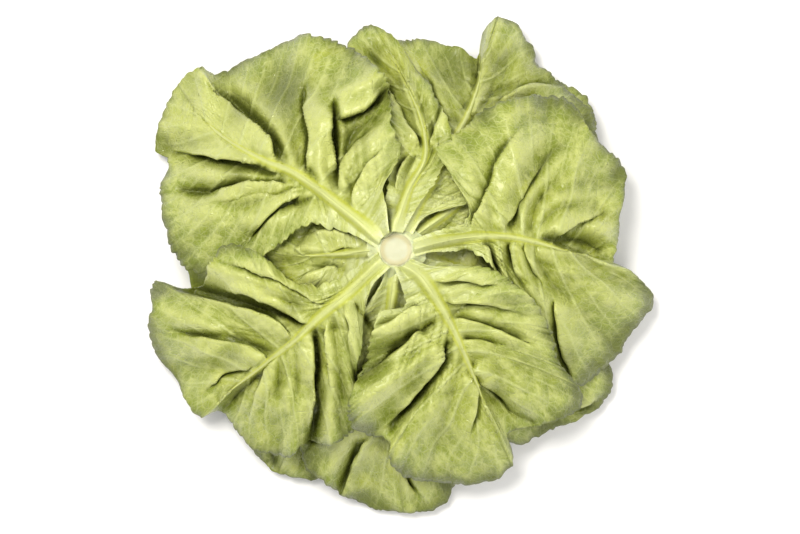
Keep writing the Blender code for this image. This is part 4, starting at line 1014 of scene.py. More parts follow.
def build_leaf(node, leaf, rows, columns, creases, nested, finish, seed, rib_share=1.0):
    """A loose leaf on the pile of pieces: its folds, creases, ruffled edge, side veins and puffed tissue."""
    settings = bpy.context.scene.lettuce_leaf
    sheet = Sheet(leaf, rows, columns)
    plan, across, along = sheet.plan, sheet.across, sheet.along[:, None]
    half = settings.blade / MM / 2
    radius = np.linalg.norm(plan, axis=-1)
    clear_of_stem = smooth_step(*DETAIL_START, radius)

    # The large shape comes from the plan's folds, and then from the CAD leaf wherever that has a face.
    top, drop, reach, power = leaf["fall"]
    fold = sheet.fold[:, None] * across**FOLD_RISE
    sink = RIB_SINK * (1 - np.exp(-across / 0.12)) * np.sin(np.pi * along)
    height = held_up(top - drop * (radius / reach) ** power + leaf["lift"] + fold - sink, LOWEST)
    rib_width = taper(RIB_WIDTH, along) * rib_share
    rib = 0.5 + 0.5 * np.cos(np.pi * np.clip(sheet.from_rib / (1.25 * rib_width), 0, 1))
    rise = taper(RIB_HEIGHT, along) * rib_share * rib * (0.35 + 0.65 * smooth_step(*RIB_START, radius))
    height += softened(filled(cad_heights(node, plan) - height - rise), CAD_BLUR)
    seam = (height[:rows, 0] + height[rows - 1:, 0][::-1]) / 2
    height[:rows, 0] = seam
    height[rows - 1:, 0] = seam[::-1]

    # Creases, fold edges and hollows of this leaf, and the valleys of those that lie on it.
    crease, valley = pressed_lines(plan, creases)
    lifted, dropped, lean = folded_edges(plan, FOLD_EDGES.get(node, []))
    if node in FOLD_EDGES:
        clear_of_lip = 1 - smooth_step(1, 5, lifted)
        crease = CREASE_BY_FOLDS * crease * clear_of_lip + lifted
        valley = np.minimum(valley * clear_of_lip, dropped)
    below = 0 * valley
    if nested:
        below = np.minimum(pressed_lines(plan, nested)[1], DROP_BELOW * folded_edges(plan, folds_over(node))[1])
    hollow, hollow_shade, satin = hollows_at(node, plan)
    off_rib = smooth_step(*BESIDE_RIB, sheet.from_rib / rib_width)
    on_blade = smooth_step(0, 0.35, across) * (1 - rib) * clear_of_stem
    height += (crease + VALLEY_BELOW * below) * off_rib

    # Ruffles, puffed tissue between the veins, swells and pleats.
    edge_line = np.stack([sheet.rim[:, None] + 0 * across, 20 * across], axis=-1)
    ripple = lumps(edge_line, settings.ruffle_size / MM / 2, seed)
    small = lumps(plan, settings.blister_size / MM / 2, seed + 1)
    puff = np.abs(lumps(plan, settings.blister_size / MM, seed + 2)) ** 0.7 * 2 - 1
    height += settings.ruffle_height / MM * ripple * across**3 * clear_of_stem
    height += settings.blister_height / MM * (0.6 * puff + 0.4 * small) * on_blade
    height += SWELL[0] * lumps(plan, SWELL[1], seed + 3) * on_blade
    height -= hollow * on_blade
    fan = sheet.rib_run[:, None] + PLEAT_FAN * sheet.rim[:, None] * across
    strands = np.stack([fan, PLEAT_STRETCH * sheet.from_rib], axis=-1)
    pleat = np.abs(lumps(strands, settings.pleat_size / MM / 2, seed + 8)) ** 0.6
    inner = 1 - smooth_step(0.35, 0.95, across)
    inner = inner * (1 - 0.7 * smooth_step(*PLEAT_FADE, radius)) * smooth_step(*PLEAT_START, radius)
    height += settings.pleat_height / MM * rib_share**2 * (pleat - 0.5) * inner * (1 - rib)

    # Teeth and wobble of the rim, lips that hang over, and the foot tucked against the stem.
    rim_line = np.stack([sheet.rim, 0 * sheet.rim], axis=-1)
    step = sheet.rim / (settings.tooth_size / MM) + 0.9 * lumps(rim_line, 9, seed + 6)
    teeth = 1 - np.abs((step * sheet.side) % 1 - 0.25) / 0.75
    foot = 0.34 + 0.66 * (1 - smooth_step(0.42, 0.74, sheet.edge_share))
    bite = 0.55 + 0.45 * lumps(rim_line, 14, seed + 7)
    tooth = settings.tooth_reach / MM * (teeth * foot * bite)[:, None] * across**7 * clear_of_stem
    wobble = sum(high * lumps(rim_line, size, seed + 4 + k) for k, (high, size) in enumerate(RIM_WOBBLES))
    wobble = wobble[:, None] * across**4 * clear_of_stem
    hang = off_rib * (1 - across**4)
    plan = plan + sheet.outward * (tooth + wobble)[..., None] + lean * hang[..., None]
    plan = plan * (1 - FOOT_TUCK * (1 - smooth_step(*TUCK_END, radius)) / np.maximum(radius, 1))[..., None]

    # The leaf is lifted clear of the pile, smoothly.
    height = held_up(height, LOWEST_CREASE)
    pile = Pile(pieces())
    short = np.clip(pile.need(plan) + settings.air / MM + half - height, 0, None) * smooth_step(*PILE_START, radius)
    for _ in range(LIFT_ROUNDS):
        short = np.maximum(short, softened(short, LIFT_BLUR[0]))
    height += softened(short, LIFT_BLUR[1])
    relief = height - softened(height, RELIEF_BLUR)
    points = np.dstack([plan, height])
    points[rows:, 0] = points[rows - 2::-1, 0]

    # Thickness, with the side veins, the midrib and the fleshy foot on the upper side.
    normals = grid_normals(points)
    normals[:rows, 0] += normals[rows - 1:, 0][::-1]
    normals /= np.linalg.norm(normals, axis=-1, keepdims=True)
    from_stem = np.linalg.norm(plan, axis=-1)
    veins = sheet.side_veins(settings.vein_gap / MM) * (1 - rib)
    thin = 1 - EDGE_THINNING * across**8
    above = half * thin + settings.vein_height / MM * veins
    upper = points + normals * above[..., None]
    upper[..., 2] += rise + settings.flesh / MM * np.exp(-(((from_stem - FOOT_RADIUS) / FLESH_REACH) ** 2))
    lower = points - normals * (half * thin)[..., None]
    # Painted shade, darker green in valleys, folds and hollows, and painted highlight on crests and satin places.
    deep = np.maximum(np.maximum(-relief / SHADE_RELIEF, -valley / SHADE_VALLEY), hollow_shade)
    fields = {
        "rib": rib, "edge": across, "from_stem": from_stem, "vein": veins,
        "deep": np.clip(deep, 0, 1), "crest": np.clip(np.maximum(relief / HIGHLIGHT_RELIEF, satin), 0, 1),
    }
    run = sheet.rib_run[:, None] + 0.4 * sheet.rim[:, None] + 0 * across
    uv = np.stack([sheet.side[:, None] * sheet.from_rib + 500, run], axis=-1)
    return thick_piece(node, upper, lower, sheet.index, fields, uv, finish)


def edge_walls(quads, count):
    """Faces that join the rim of the upper side to that of the lower side."""
    starts = quads.ravel()
    ends = np.roll(quads, -1, axis=1).ravel()
    forward = starts.astype(np.int64) * count + ends
    backward = ends.astype(np.int64) * count + starts
    rim = ~np.isin(forward, backward) & (starts != ends)
    a, b = starts[rim], ends[rim]
    return np.column_stack([b, a, a + count, b + count])


def signed_volume(points, faces):
    a, b, c, d = (points[faces[:, k]] for k in range(4))
    return float((np.cross(a, b) * c).sum() + (np.cross(a, c) * d).sum())


def pressed(down):
    """How far down a direction of the ball reaches, with the crown pressed flat."""
    return down - PRESS_BEND * np.logaddexp(0, (down - PRESS) / PRESS_BEND)


def heart_directions(bearing, past_crown, half_width, rows, columns):
    """Directions from the heart's middle of a cupped leaf that runs down the ball's side and over its crown."""
    along = np.linspace(0, 1, rows + 1)[:, None]
    across = np.linspace(-1, 1, columns + 1)[None, :]
    width = np.radians(half_width) * (0.16 + 0.84 * np.sin(0.84 * np.pi * along**1.1) ** 0.8)
    rounding = 1 - 0.14 * across**2 * along**3
    angle = np.radians(HEART_FOOT_ANGLE - (HEART_FOOT_ANGLE + past_crown) * along * rounding)
    turn = math.radians(bearing)
    out_from_stem = np.array([math.cos(turn), math.sin(turn), 0])
    sideways = np.array([-math.sin(turn), math.cos(turn), 0])
    down_middle = np.sin(angle)[..., None] * out_from_stem - np.cos(angle)[..., None] * np.array([0, 0, 1])
    turned = width * across
    direction = np.cos(turned)[..., None] * down_middle + np.sin(turned)[..., None] * sideways
    direction[..., 2] = -pressed(-direction[..., 2]) * HEART_HALF_HEIGHT / HEART_HALF_WIDTH
    return direction / np.linalg.norm(direction, axis=-1, keepdims=True), along, across


def build_heart_leaf(node, leaf, finish, seed):
    """A leaf of the heart: it lies where its CAD node lies, with a midrib, puffed tissue and a waved edge."""
    settings = bpy.context.scene.lettuce_heart
    blade = bpy.context.scene.lettuce_leaf.blade / MM
    direction, along, across = heart_directions(*leaf, settings.rows, settings.columns)
    tree = cad_tree(node)
    middle = np.array([0, 0, HEART_MIDDLE])
    reach = np.full(direction.shape[:2], np.nan)
    for r in range(reach.shape[0]):
        for c in range(reach.shape[1]):
            hit = tree.ray_cast(Vector(middle * MM), Vector(direction[r, c]))[0]
            if hit is not None:
                reach[r, c] = (hit - Vector(middle * MM)).length / MM
    reach = softened(filled(reach), 3)
    rib = np.exp(-((across / HEART_RIB) ** 2)) * (1 - 0.8 * along)
    spread = np.stack([across * HEART_PLAN[0] + 0 * along, along * HEART_PLAN[1] + 0 * across], axis=-1)
    puff = 1 - 2 * np.abs(lumps(spread, HEART_PUFF, seed))
    inside = (1 - across**4) * (1 - along**6)
    reach = reach + 0.25 * settings.blister_height / MM * puff * inside
    low = middle + direction * reach[..., None]
    outer = reach + blade + HEART_RIB_HEIGHT * rib + 0.5 * settings.blister_height / MM * (puff * inside + 1)
    high = middle + direction * outer[..., None]
    for face, lowest in zip((low, high), HEART_LOWEST):
        face[..., 2] = np.maximum(face[..., 2], lowest)
    index = np.arange(reach.size).reshape(reach.shape)
    veins = np.exp(-(((np.abs(across) * 4.5 + along * 11) % 1 - 0.5) / 0.09) ** 2) * (1 - rib) * (1 - across**2)
    fields = {
        "rib": rib, "edge": np.maximum(np.abs(across), along**2), "from_stem": 40 + 60 * along,
        "vein": veins, "deep": 0 * rib,
    }
    return thick_piece(node, high, low, index, fields, spread + 200, finish)


def build_core(finish):
    """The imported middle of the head, grown from its CAD node with finer, puffed faces."""
    source = frame["nodes"]["heart"]
    rough = source.copy()
    rough.data = source.data.copy()
    bpy.context.scene.collection.objects.link(rough)
    weld = rough.modifiers.new("Weld", "WELD")
    weld.merge_threshold = 0.00001
    finer = rough.modifiers.new("Finer", "SUBSURF")
    finer.subdivision_type = "SIMPLE"
    finer.levels = 1
    rounded = rough.modifiers.new("Rounded", "CORRECTIVE_SMOOTH")
    rounded.factor = 0.4
    rounded.iterations = 3
    rounded.use_only_smooth = True
    bpy.context.view_layer.update()
    made = rough.evaluated_get(bpy.context.evaluated_depsgraph_get()).to_mesh()
    made.calc_loop_triangles()
    points = np.array([v.co for v in made.vertices]) / MM
    faces = np.array([t.vertices for t in made.loop_triangles])
    bpy.data.objects.remove(rough)
    turn = np.arctan2(points[:, 1], points[:, 0])
    spread = np.stack([turn * 40, points[:, 2]], axis=-1)
    out = points - [0, 0, HEART_MIDDLE]
    out = out / np.linalg.norm(out, axis=1, keepdims=True)
    points = points + out * 0.25 * lumps(spread, 8, 31)[:, None]
    even = {"rib": 0.0, "edge": 0.5, "from_stem": 70.0, "deep": 0.0}
    fields = {key: np.full(len(points), value) for key, value in even.items()}
    fields["vein"] = np.clip(1 - 8 * np.abs(lumps(spread, 12, 33)), 0, 1)
    return mesh_piece("heart_look", points, faces, fields, (spread + 300) * MM, finish, "heart")


def stem_web(sides):
    """The pale web round the stem where the leaves' feet grow together: a thin wavy collar with a ragged edge."""
    angle = np.arange(sides) * 2 * np.pi / sides
    circle = np.stack([np.cos(angle), np.sin(angle)], axis=-1)
    reach = WEB_REACH
    for k, (far, size) in enumerate(WEB_RAGGED):
        reach = reach + far * lumps(circle * 9, size, 61 + k)
    share = np.linspace(0, 1, WEB_RINGS)[:, None]
    plan = (WEB_START + (reach - WEB_START) * share)[..., None] * circle
    height = WEB_TOP - WEB_DROP * smooth_step(0.1, 1.0, share)
    for k, (high, size) in enumerate(WEB_WAVES):
        height = height + high * share * lumps(plan, size, 63 + k)
    upper = np.dstack([plan, height])
    lower = np.dstack([plan, height - WEB_THICKNESS * (1 - 0.6 * share)])
    here = np.arange(sides)
    after = (here + 1) % sides
    count = WEB_RINGS * sides
    faces = []
    for ring in range(WEB_RINGS - 1):
        a, b = ring * sides + here, (ring + 1) * sides + here
        c, d = (ring + 1) * sides + after, ring * sides + after
        faces += [np.stack([a, b, c], -1), np.stack([a, c, d], -1)]
        faces += [np.stack([a, c, b], -1) + count, np.stack([a, d, c], -1) + count]
    a, b = (WEB_RINGS - 1) * sides + here, (WEB_RINGS - 1) * sides + after
    faces += [np.stack([a, a + count, b + count], -1), np.stack([a, b + count, b], -1)]
    faces += [np.stack([here, after, after + count], -1), np.stack([here, after + count, here + count], -1)]
    return np.vstack([upper.reshape(-1, 3), lower.reshape(-1, 3)]), np.vstack(faces)


def build_stem(finish):
    """The cut stem: a soft five-cornered post with a slightly uneven cut face, slimmer where it meets the heart."""
    settings = bpy.context.scene.lettuce_stem
    sides = settings.sides
    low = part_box("stem")[0].z / MM
    angle = np.arange(sides) * 2 * np.pi / sides
    rings = []
    for radius, z in [*STEM_PROFILE, (STEM_FOOT_RADIUS, low + 0.2)]:
        corner = settings.corner / MM * np.cos(5 * (angle - math.radians(12))) * (radius / STEM_RADIUS) ** 2
        wide = radius + corner + STEM_UNEVEN * np.sin(2 * angle + 0.7) * radius / STEM_RADIUS
        ring = np.stack([wide * np.cos(angle), wide * np.sin(angle), np.full_like(angle, z)], axis=-1)
        ring[:, 2] += STEM_UNEVEN * lumps(ring[:, :2], 4, 41)
        rings.append(ring)
    points = np.vstack([[(0, 0, STEM_TOP)], *rings, [(0, 0, low + 0.1)]])
    foot = 1 + (len(rings) - 1) * sides
    faces = []
    for k in range(sides):
        n = (k + 1) % sides
        faces.append((0, 1 + k, 1 + n))
        for a in range(1, foot, sides):
            faces += [(a + k, a + sides + k, a + sides + n), (a + k, a + sides + n, a + n)]
        faces.append((len(points) - 1, foot + n, foot + k))
    web_points, web_faces = stem_web(sides * 2)
    faces = np.vstack([faces, web_faces + len(points)])
    points = np.vstack([points, web_points])
    fields = {"from_stem": np.linalg.norm(points[:, :2], axis=1) + np.clip(105.0 - points[:, 2], 0, 10)}
    return mesh_piece("stem_look", points, faces, fields, (points[:, :2] + 100) * MM, finish, "stem")


SMOOTH = {"interpolation_type": "SMOOTHSTEP"}
COLOURS = {"data_type": "RGBA"}


def add(tree, kind, values=None, output=0):
    """A node with its settings and links, given as the socket that is used of it.

    Keys in lower case are settings of the node itself. The others are its inputs: a socket is linked to them, and
    any other value is set on them.
    """
    node = tree.nodes.new("ShaderNode" + kind)
    for key, value in (values or {}).items():
        if isinstance(key, str) and key[0].islower():
            setattr(node, key, value)
        elif isinstance(value, bpy.types.NodeSocket):
            tree.links.new(value, node.inputs[key])
        else:
            node.inputs[key].default_value = value
    return node.outputs[output] if node.outputs else None


def new_material(name):
    made = bpy.data.materials.new(name)
    made.use_nodes = True
    made.node_tree.nodes.clear()
    return made


def leaf_finish(name, blade, edge, foot, rib, net, deep, roughness):
    """Lettuce leaf: blanched towards the stem and along the midrib, greener at its edge, with a net of pale veins."""
    made = new_material(name)
    tree = made.node_tree
    settings = bpy.context.scene.lettuce_leaf
    young, bloom_and_highlight = settings.young_colour, settings.bloom_and_highlight_colour
    rib_share, edge_share, from_stem, vein, fold_shade_share, crest = (
        add(tree, "Attribute", {"attribute_name": key}, "Fac")
        for key in ("rib", "edge", "from_stem", "vein", "deep", "crest")
    )
    uv = add(tree, "UVMap", {"uv_map": "UVMap"}, "UV")
    place = add(tree, "TexCoord", None, "Object")

    # The net of fine veins at two sizes, which bends a little and leaves the midrib free, with the side veins.
    bend = add(tree, "TexNoise", {"Scale": 1 / 0.007, "Detail": 2.0, "Vector": place}, "Color")
    bent = add(tree, "VectorMath", {"operation": "MULTIPLY_ADD", 0: bend, 1: (0.003, 0.003, 0.003), 2: uv}, "Vector")
    net_cells = {"voronoi_dimensions": "2D", "feature": "DISTANCE_TO_EDGE", "Vector": bent}
    cells = add(tree, "TexVoronoi", {**net_cells, "Scale": 1 / settings.net_size}, "Distance")
    small_cells = add(tree, "TexVoronoi", {**net_cells, "Scale": 1 / settings.small_net_size}, "Distance")
    lines = add(tree, "MapRange", {**SMOOTH, 0: cells, 1: 0.0, 2: 0.13, 3: 1.0, 4: 0.0})
    small_lines = add(tree, "MapRange", {**SMOOTH, 0: small_cells, 1: 0.0, 2: 0.16, 3: 0.5, 4: 0.0})
    net_line = add(tree, "Math", {"operation": "MAXIMUM", 0: lines, 1: small_lines})
    off_rib = add(tree, "Math", {"operation": "SUBTRACT", "use_clamp": True, 0: 1.0, 1: rib_share})
    fine = add(tree, "Math", {"operation": "MULTIPLY", 0: net_line, 1: off_rib})
    veins = add(tree, "Math", {"operation": "MULTIPLY_ADD", 0: fine, 1: 0.55, 2: vein})

    # Where the blade is greener, thin and young, satin, blanched, or has white strands that run out from the stem.
    mottle = add(tree, "TexNoise", {"Scale": 1 / 0.024, "Detail": 4.0, "Roughness": 0.55, "Vector": place}, "Fac")
    towards_edge = add(tree, "Math", {"operation": "MULTIPLY_ADD", 0: mottle, 1: 0.9, 2: edge_share})
    greener = add(tree, "MapRange", {**SMOOTH, 0: towards_edge, 1: 0.55, 2: 1.45, 3: 0.0, 4: 1.0})
    cloud = add(tree, "TexNoise", {"Scale": 1 / 0.031, "Detail": 2.0, "Distortion": 0.6, "Vector": place}, "Fac")
    thin = add(tree, "MapRange", {**SMOOTH, 0: cloud, 1: 0.52, 2: 0.72, 3: 0.0, 4: 0.75})
    streak = add(tree, "TexNoise", {"Scale": 1 / 0.0065, "Detail": 6.0, "Roughness": 0.7, "Vector": bent}, "Fac")
    bloom = add(tree, "MapRange", {**SMOOTH, 0: streak, 1: 0.42, 2: 0.66, 3: 0.0, 4: 0.7})
    uneven = add(tree, "Math", {"operation": "MULTIPLY_ADD", 0: mottle, 1: 34.0, 2: from_stem})
    blanched = add(tree, "MapRange", {**SMOOTH, 0: uneven, 1: 24.0, 2: 86.0, 3: 1.0, 4: 0.0})
    drawn_out = add(tree, "VectorMath", {"operation": "MULTIPLY", 0: bent, 1: (0.14, 1.0, 1.0)}, "Vector")
    strands = add(tree, "TexNoise", {"Scale": 1 / 0.0048, "Detail": 4.0, "Roughness": 0.6, "Vector": drawn_out}, "Fac")
    white_strands = add(tree, "MapRange", {**SMOOTH, 0: strands, 1: 0.38, 2: 0.6, 3: 0.25, 4: 1.0})
    whitened = add(tree, "Math", {"operation": "MULTIPLY", 0: blanched, 1: white_strands})
    fresh = add(tree, "Math", {"operation": "MULTIPLY", 0: blanched, 1: 0.8})
    # Painted highlight on crests and satin places, and painted shade in folds, young-coloured near the stem.
    crest_highlight = add(tree, "Math", {"operation": "MULTIPLY", 0: crest, 1: 0.7})
    deeper = add(tree, "Math", {"operation": "MULTIPLY", 0: fold_shade_share, 1: 0.93})
    fold_shade_tone = add(tree, "Mix", {**COLOURS, 0: fresh, 6: deep, 7: young}, 2)

    # The veins fade under the painted shade deep in a fold. The midrib is palest along its back and near the stem.
    pale_veins = add(tree, "Math", {"operation": "MULTIPLY", "use_clamp": True, 0: veins, 1: 0.8})
    sunk = add(tree, "MapRange", {0: fold_shade_share, 1: 0.0, 2: 1.0, 3: 1.0, 4: 0.25})
    pale_veins = add(tree, "Math", {"operation": "MULTIPLY", 0: pale_veins, 1: sunk})
    ribbed = add(tree, "MapRange", {**SMOOTH, 0: rib_share, 1: 0.05, 2: 0.45, 3: 0.0, 4: 0.9})
    back = add(tree, "MapRange", {**SMOOTH, 0: rib_share, 1: 0.5, 2: 1.0, 3: 0.0, 4: 0.5})
    near = add(tree, "MapRange", {**SMOOTH, 0: uneven, 1: 18.0, 2: 46.0, 3: 0.85, 4: 0.0})
    pale = add(tree, "Math", {"operation": "MAXIMUM", 0: back, 1: near})
    rib_tone = add(tree, "Mix", {**COLOURS, 0: pale, 6: rib, 7: foot}, 2)

    # Each colour is laid over those before it.
    tissue = blade
    for share, colour in (
        (greener, edge), (thin, young), (bloom, bloom_and_highlight), (fresh, young), (whitened, foot), (crest_highlight, bloom_and_highlight),
        (deeper, fold_shade_tone), (pale_veins, net), (ribbed, rib_tone),
    ):
        tissue = add(tree, "Mix", {**COLOURS, 0: share, 6: tissue, 7: colour}, 2)

    # The net, the streaks and the strands stand out a little too.
    relief = mottle
    for part, gain in ((fine, 0.5), (streak, 0.8), (strands, 1.4)):
        relief = add(tree, "Math", {"operation": "MULTIPLY_ADD", 0: part, 1: gain, 2: relief})
    normal = add(tree, "Bump", {"Strength": 0.55, "Distance": 0.0008, "Height": relief})

    # Water drops, in some of the cells only. They show as small glints, and nothing of their shape.
    drops = add(tree, "TexVoronoi", {"Scale": 1 / 0.0026, "Randomness": 1.0, "Vector": place}, "Distance")
    lone = add(tree, "SeparateColor", {0: drops.node.outputs["Color"]})
    size = add(tree, "MapRange", {0: lone, 1: 0.6, 2: 1.0, 3: 0.0, 4: 0.48})
    dome = add(tree, "Math", {"operation": "SUBTRACT", "use_clamp": True, 0: size, 1: drops})
    wet = add(tree, "MapRange", {**SMOOTH, 0: dome, 1: 0.0, 2: 0.06, 3: 0.0, 4: 1.0})
    normal = add(tree, "Bump", {"Strength": 0.6, "Distance": 0.0014, "Height": dome, "Normal": normal})
    satin = add(tree, "MapRange", {0: streak, 1: 0.3, 2: 0.7, 3: roughness - 0.12, 4: roughness + 0.06})
    dull = add(tree, "Mix", {"data_type": "FLOAT", 0: wet, 2: satin, 3: 0.12})
    shader = add(tree, "BsdfPrincipled", {
        "IOR": 1.42, "Subsurface Weight": 0.12, "Subsurface Radius": (1.0, 1.0, 0.35), "Subsurface Scale": 0.0012,
        "Coat Weight": 0.3, "Coat Roughness": 0.26, "Base Color": tissue, "Roughness": dull, "Normal": normal,
    })
    add(tree, "OutputMaterial", {"Surface": shader})
    return made


def stem_finish():
    """Cut stem: a wet cream pith with a ring of tan sap vessels, fine fibres across the cut and a pale green skin."""
    made = new_material("cut_lettuce_stem")
    tree = made.node_tree
    settings = bpy.context.scene.lettuce_stem
    place = add(tree, "TexCoord", None, "Object")
    cloud = add(tree, "TexNoise", {"Scale": 1 / 0.004, "Detail": 3.0, "Vector": place}, "Fac")
    radius = add(tree, "Attribute", {"attribute_name": "from_stem"}, "Fac")
    uneven = add(tree, "Math", {"operation": "MULTIPLY_ADD", 0: cloud, 1: 1.6, 2: radius})
    to_ring = add(tree, "MapRange", {**SMOOTH, 0: uneven, 1: 5.6, 2: 8.2, 3: 0.0, 4: 1.0})
    past_ring = add(tree, "MapRange", {**SMOOTH, 0: uneven, 1: 9.0, 2: 10.2, 3: 0.0, 4: 1.0})
    colour = add(tree, "Mix", {**COLOURS, 0: to_ring, 6: settings.pith_colour, 7: settings.ring_colour}, 2)
    colour = add(tree, "Mix", {**COLOURS, 0: past_ring, 6: colour, 7: settings.skin_colour}, 2)

    # The fibres are about as fine as a pixel of the picture, so they show there as a softer glint only.
    grain = add(tree, "TexNoise", {"Scale": 1 / 0.0006, "Detail": 2.0, "Vector": place}, "Fac")
    normal = add(tree, "Bump", {"Strength": 0.3, "Distance": 0.0003, "Height": grain})
    shader = add(tree, "BsdfPrincipled", {
        "IOR": 1.4, "Roughness": 0.34, "Subsurface Weight": 0.3, "Subsurface Radius": (1.0, 0.8, 0.5),
        "Subsurface Scale": 0.002, "Base Color": colour, "Normal": normal,
    })
    add(tree, "OutputMaterial", {"Surface": shader})
    return made


def paper_finish(colour):
    """Matt white studio paper with the faintest unevenness of tone."""
    made = new_material("studio_paper")
    tree = made.node_tree
    place = add(tree, "TexCoord", None, "Object")
    cloud = add(tree, "TexNoise", {"Scale": 2.0, "Detail": 2.0, "Vector": place}, "Fac")
    dull = tuple(0.97 * value for value in colour[:3]) + (1.0,)
    tone = add(tree, "Mix", {**COLOURS, 0: cloud, 6: colour, 7: dull}, 2)
    shader = add(tree, "BsdfPrincipled", {"Roughness": 0.9, "Specular IOR Level": 0.2, "Base Color": tone})
    add(tree, "OutputMaterial", {"Surface": shader})
    return made


def inner_leaf(bearing, size, lean):
    """A leaf of the inner whorl: the shared outline turned to its bearing, with its midrib leaning to one side."""
    turn = math.radians(bearing)

    def turned(point, side):
        x = point[0] * size
        y = point[1] * size * side + x * x * lean
        return (x * math.cos(turn) - y * math.sin(turn), x * math.sin(turn) + y * math.cos(turn))

    return {
        "bearing": bearing, "half_foot": 33, "fall": INNER_FALL, "lift": 0,
        "rib": [turned(p, 1) for p in INNER_RIB], "tip": turned(INNER_TIP, 1),
        "left": [turned(p, 1) for p in INNER_EDGE], "right": [turned(p, -1) for p in INNER_EDGE],
        "folds_left": INNER_FOLDS, "folds_right": [(share, -height) for share, height in INNER_FOLDS],
    }


def valleys_over(names):
    """The valleys of these leaves, into which the leaves beneath them are pressed as well."""
    return [crease for name in names for crease in CREASES.get(name, []) if crease[0] < -6]


def folds_over(node):
    """The fold edges of the outer leaves that lie over this leaf."""
    names = list(LEAVES)
    above = names[names.index(node) + 1:] if node in LEAVES else names
    return [edge for name in above for edge in FOLD_EDGES.get(name, [])]


OUTER_LEAVES = [name for name in LEAVES if name.startswith("outer_")]


class LETTUCE_OT_stem(bpy.types.Operator):
    """Build the cut stem"""

    bl_idname = "lettuce.stem"
    bl_label = "Stem"

    def execute(self, context):
        build_stem(stem_finish())
        return {"FINISHED"}


class LETTUCE_OT_heart(bpy.types.Operator):
    """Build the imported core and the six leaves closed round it"""

    bl_idname = "lettuce.heart"
    bl_label = "Heart"

    def execute(self, context):
        s = context.scene.lettuce_heart
        finish = leaf_finish(
            "blanched_heart_leaf", s.blade_colour, s.edge_colour, s.rib_colour, s.rib_colour, s.rib_colour,
            s.edge_colour, 0.46,
        )
        build_core(finish)
        for number, leaf in enumerate(HEART_LEAVES, 1):
            build_heart_leaf(f"heart_leaf_{number}", leaf, finish, 50 + number)
        return {"FINISHED"}


class LETTUCE_OT_inner_whorl(bpy.types.Operator):
    """Build the five pale leaves that cup the heart"""

    bl_idname = "lettuce.inner_whorl"
    bl_label = "Inner whorl"

    def execute(self, context):
        s = context.scene.lettuce_leaf
        # The inner whorl's edge colour also serves as the painted shade in its folds.
        finish = leaf_finish(
            "pale_lettuce_leaf", s.pale_blade_colour, s.pale_edge_and_shade_colour, s.foot_colour, s.rib_colour, s.rib_colour,
            s.pale_edge_and_shade_colour, 0.44,
        )
        nested = valleys_over(LEAVES)
        for number, (bearing, size, lean) in enumerate(INNER_WHORL, 1):
            leaf = inner_leaf(bearing, size, lean)
            build_leaf(
                f"inner_leaf_{number}", leaf, s.inner_rows, s.inner_columns, [], nested, finish,
                70 + 10 * number,
            )
        return {"FINISHED"}


class LETTUCE_OT_loose_leaves(bpy.types.Operator):
    """Build the middle and outer leaves in the order that they lie in, the undermost first"""

    bl_idname = "lettuce.loose_leaves"
    bl_label = "Middle and outer leaves"

    def execute(self, context):
        s = context.scene.lettuce_leaf
        finish = leaf_finish(
            "green_lettuce_leaf", s.blade_colour, s.edge_colour, s.foot_colour, s.rib_colour, s.net_colour,
            s.fold_shade_colour, 0.42,
        )
        names = list(LEAVES)
        for number, name in enumerate(names):
            outer = name in OUTER_LEAVES
            rows = s.outer_rows if outer else s.middle_rows
            columns = s.outer_columns if outer else s.middle_columns
            above = [other for other in names[number + 1:] if other in OUTER_LEAVES]
            build_leaf(
                name, LEAVES[name], rows, columns, CREASES.get(name, []), valleys_over(above), finish,
                200 + 10 * number, 1.0 if outer else 0.72,
            )
        return {"FINISHED"}


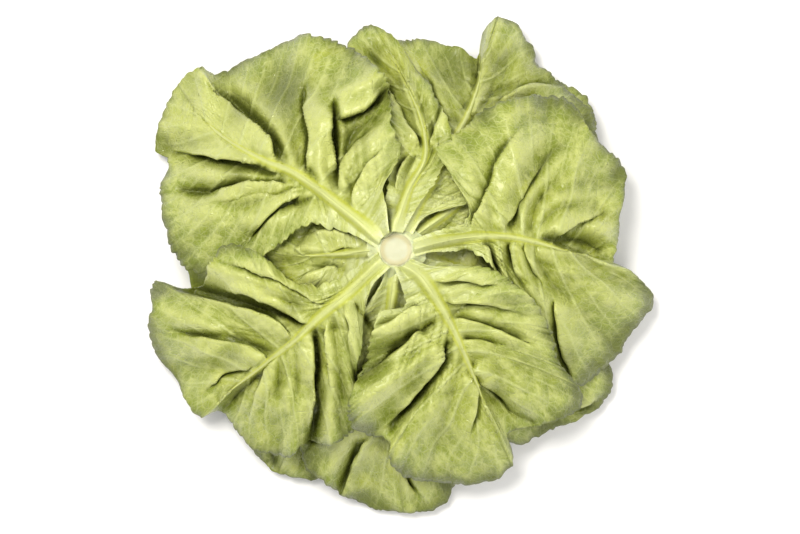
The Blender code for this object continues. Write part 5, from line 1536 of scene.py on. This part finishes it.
class LETTUCE_OT_stage(bpy.types.Operator):
    """Build the paper, the lights and the camera"""

    bl_idname = "lettuce.stage"
    bl_label = "Studio"

    def execute(self, context):
        scene = context.scene
        s = scene.lettuce_stage
        sides = FLOOR_SIDES
        turn = np.linspace(0, 2 * np.pi, sides + 1)[:-1]
        rings = np.linspace(0.1, 1, 10) * s.floor_reach
        points = [(0, 0, 0)] + [(r * math.cos(a), r * math.sin(a), 0.0) for r in rings for a in turn]
        faces = [(0, 1 + k, 1 + (k + 1) % sides) for k in range(sides)]
        for ring in range(len(rings) - 1):
            a = 1 + sides * ring
            faces += [(a + k, a + sides + k, a + sides + (k + 1) % sides, a + (k + 1) % sides) for k in range(sides)]
        mesh = bpy.data.meshes.new("paper")
        mesh.from_pydata(points, [], faces)
        mesh.materials.append(paper_finish(s.floor_colour))
        floor = bpy.data.objects.new("paper", mesh)
        scene.collection.objects.link(floor)

        world = bpy.data.worlds.new("studio")
        world.use_nodes = True
        back = world.node_tree.nodes["Background"]
        back.inputs["Color"].default_value = linear("FFFFFF")
        back.inputs["Strength"].default_value = s.surround
        scene.world = world

        lights = (
            ("key", s.key_size, s.key_power, (-0.35, 0.4, 1.5)), ("fill", s.fill_size, s.fill_power, (0.9, -0.4, 1.4)),
        )
        for name, size, power, place in lights:
            lamp = bpy.data.lights.new(name, "AREA")
            lamp.shape = "DISK"
            lamp.size = size
            lamp.energy = power
            lamp.color = linear("FFFBF4")[:3]
            light = bpy.data.objects.new(name, lamp)
            scene.collection.objects.link(light)
            light.location = place
            light.rotation_euler = (Vector(LIGHT_TARGET) - light.location).to_track_quat("-Z", "Y").to_euler()

        view = bpy.data.cameras.new("camera")
        view.sensor_width = 36.0
        view.lens = view.sensor_width * s.distance / s.frame_width
        camera = bpy.data.objects.new("camera", view)
        scene.collection.objects.link(camera)
        camera.location = (*PICTURE_MIDDLE, CAMERA_BASE + s.distance)
        camera.rotation_euler = (0, 0, 0)
        view.clip_end = 20
        scene.camera = camera
        scene.view_settings.view_transform = "Standard"
        return {"FINISHED"}


OPERATORS = (
    LETTUCE_OT_stem, LETTUCE_OT_heart, LETTUCE_OT_inner_whorl, LETTUCE_OT_loose_leaves, LETTUCE_OT_stage,
)


class LETTUCE_PT_panel(bpy.types.Panel):
    """Buttons and settings of the lettuce"""

    bl_label = "Lettuce"
    bl_idname = "LETTUCE_PT_panel"
    bl_space_type = "VIEW_3D"
    bl_region_type = "UI"
    bl_category = "Lettuce"

    def draw(self, context):
        layout = self.layout
        for operator in OPERATORS:
            layout.operator(operator.bl_idname)
        for name, group in SETTINGS:
            box = layout.box()
            for key in group.__annotations__:
                box.prop(getattr(context.scene, name), key)


SETTINGS = (
    ("lettuce_stem", LettuceStemSettings), ("lettuce_heart", LettuceHeartSettings),
    ("lettuce_leaf", LettuceLeafSettings), ("lettuce_stage", LettuceStageSettings),
)


def register():
    for name, group in SETTINGS:
        bpy.utils.register_class(group)
        setattr(bpy.types.Scene, name, PointerProperty(type=group))
    for operator in OPERATORS:
        bpy.utils.register_class(operator)
    bpy.utils.register_class(LETTUCE_PT_panel)


def unregister():
    bpy.utils.unregister_class(LETTUCE_PT_panel)
    for operator in reversed(OPERATORS):
        bpy.utils.unregister_class(operator)
    for name, group in reversed(SETTINGS):
        delattr(bpy.types.Scene, name)
        bpy.utils.unregister_class(group)


def main():
    register()
    bpy.ops.lettuce.stem()
    bpy.ops.lettuce.heart()
    bpy.ops.lettuce.inner_whorl()
    bpy.ops.lettuce.loose_leaves()
    bpy.ops.lettuce.stage()


if __name__ == "__main__":
    main()
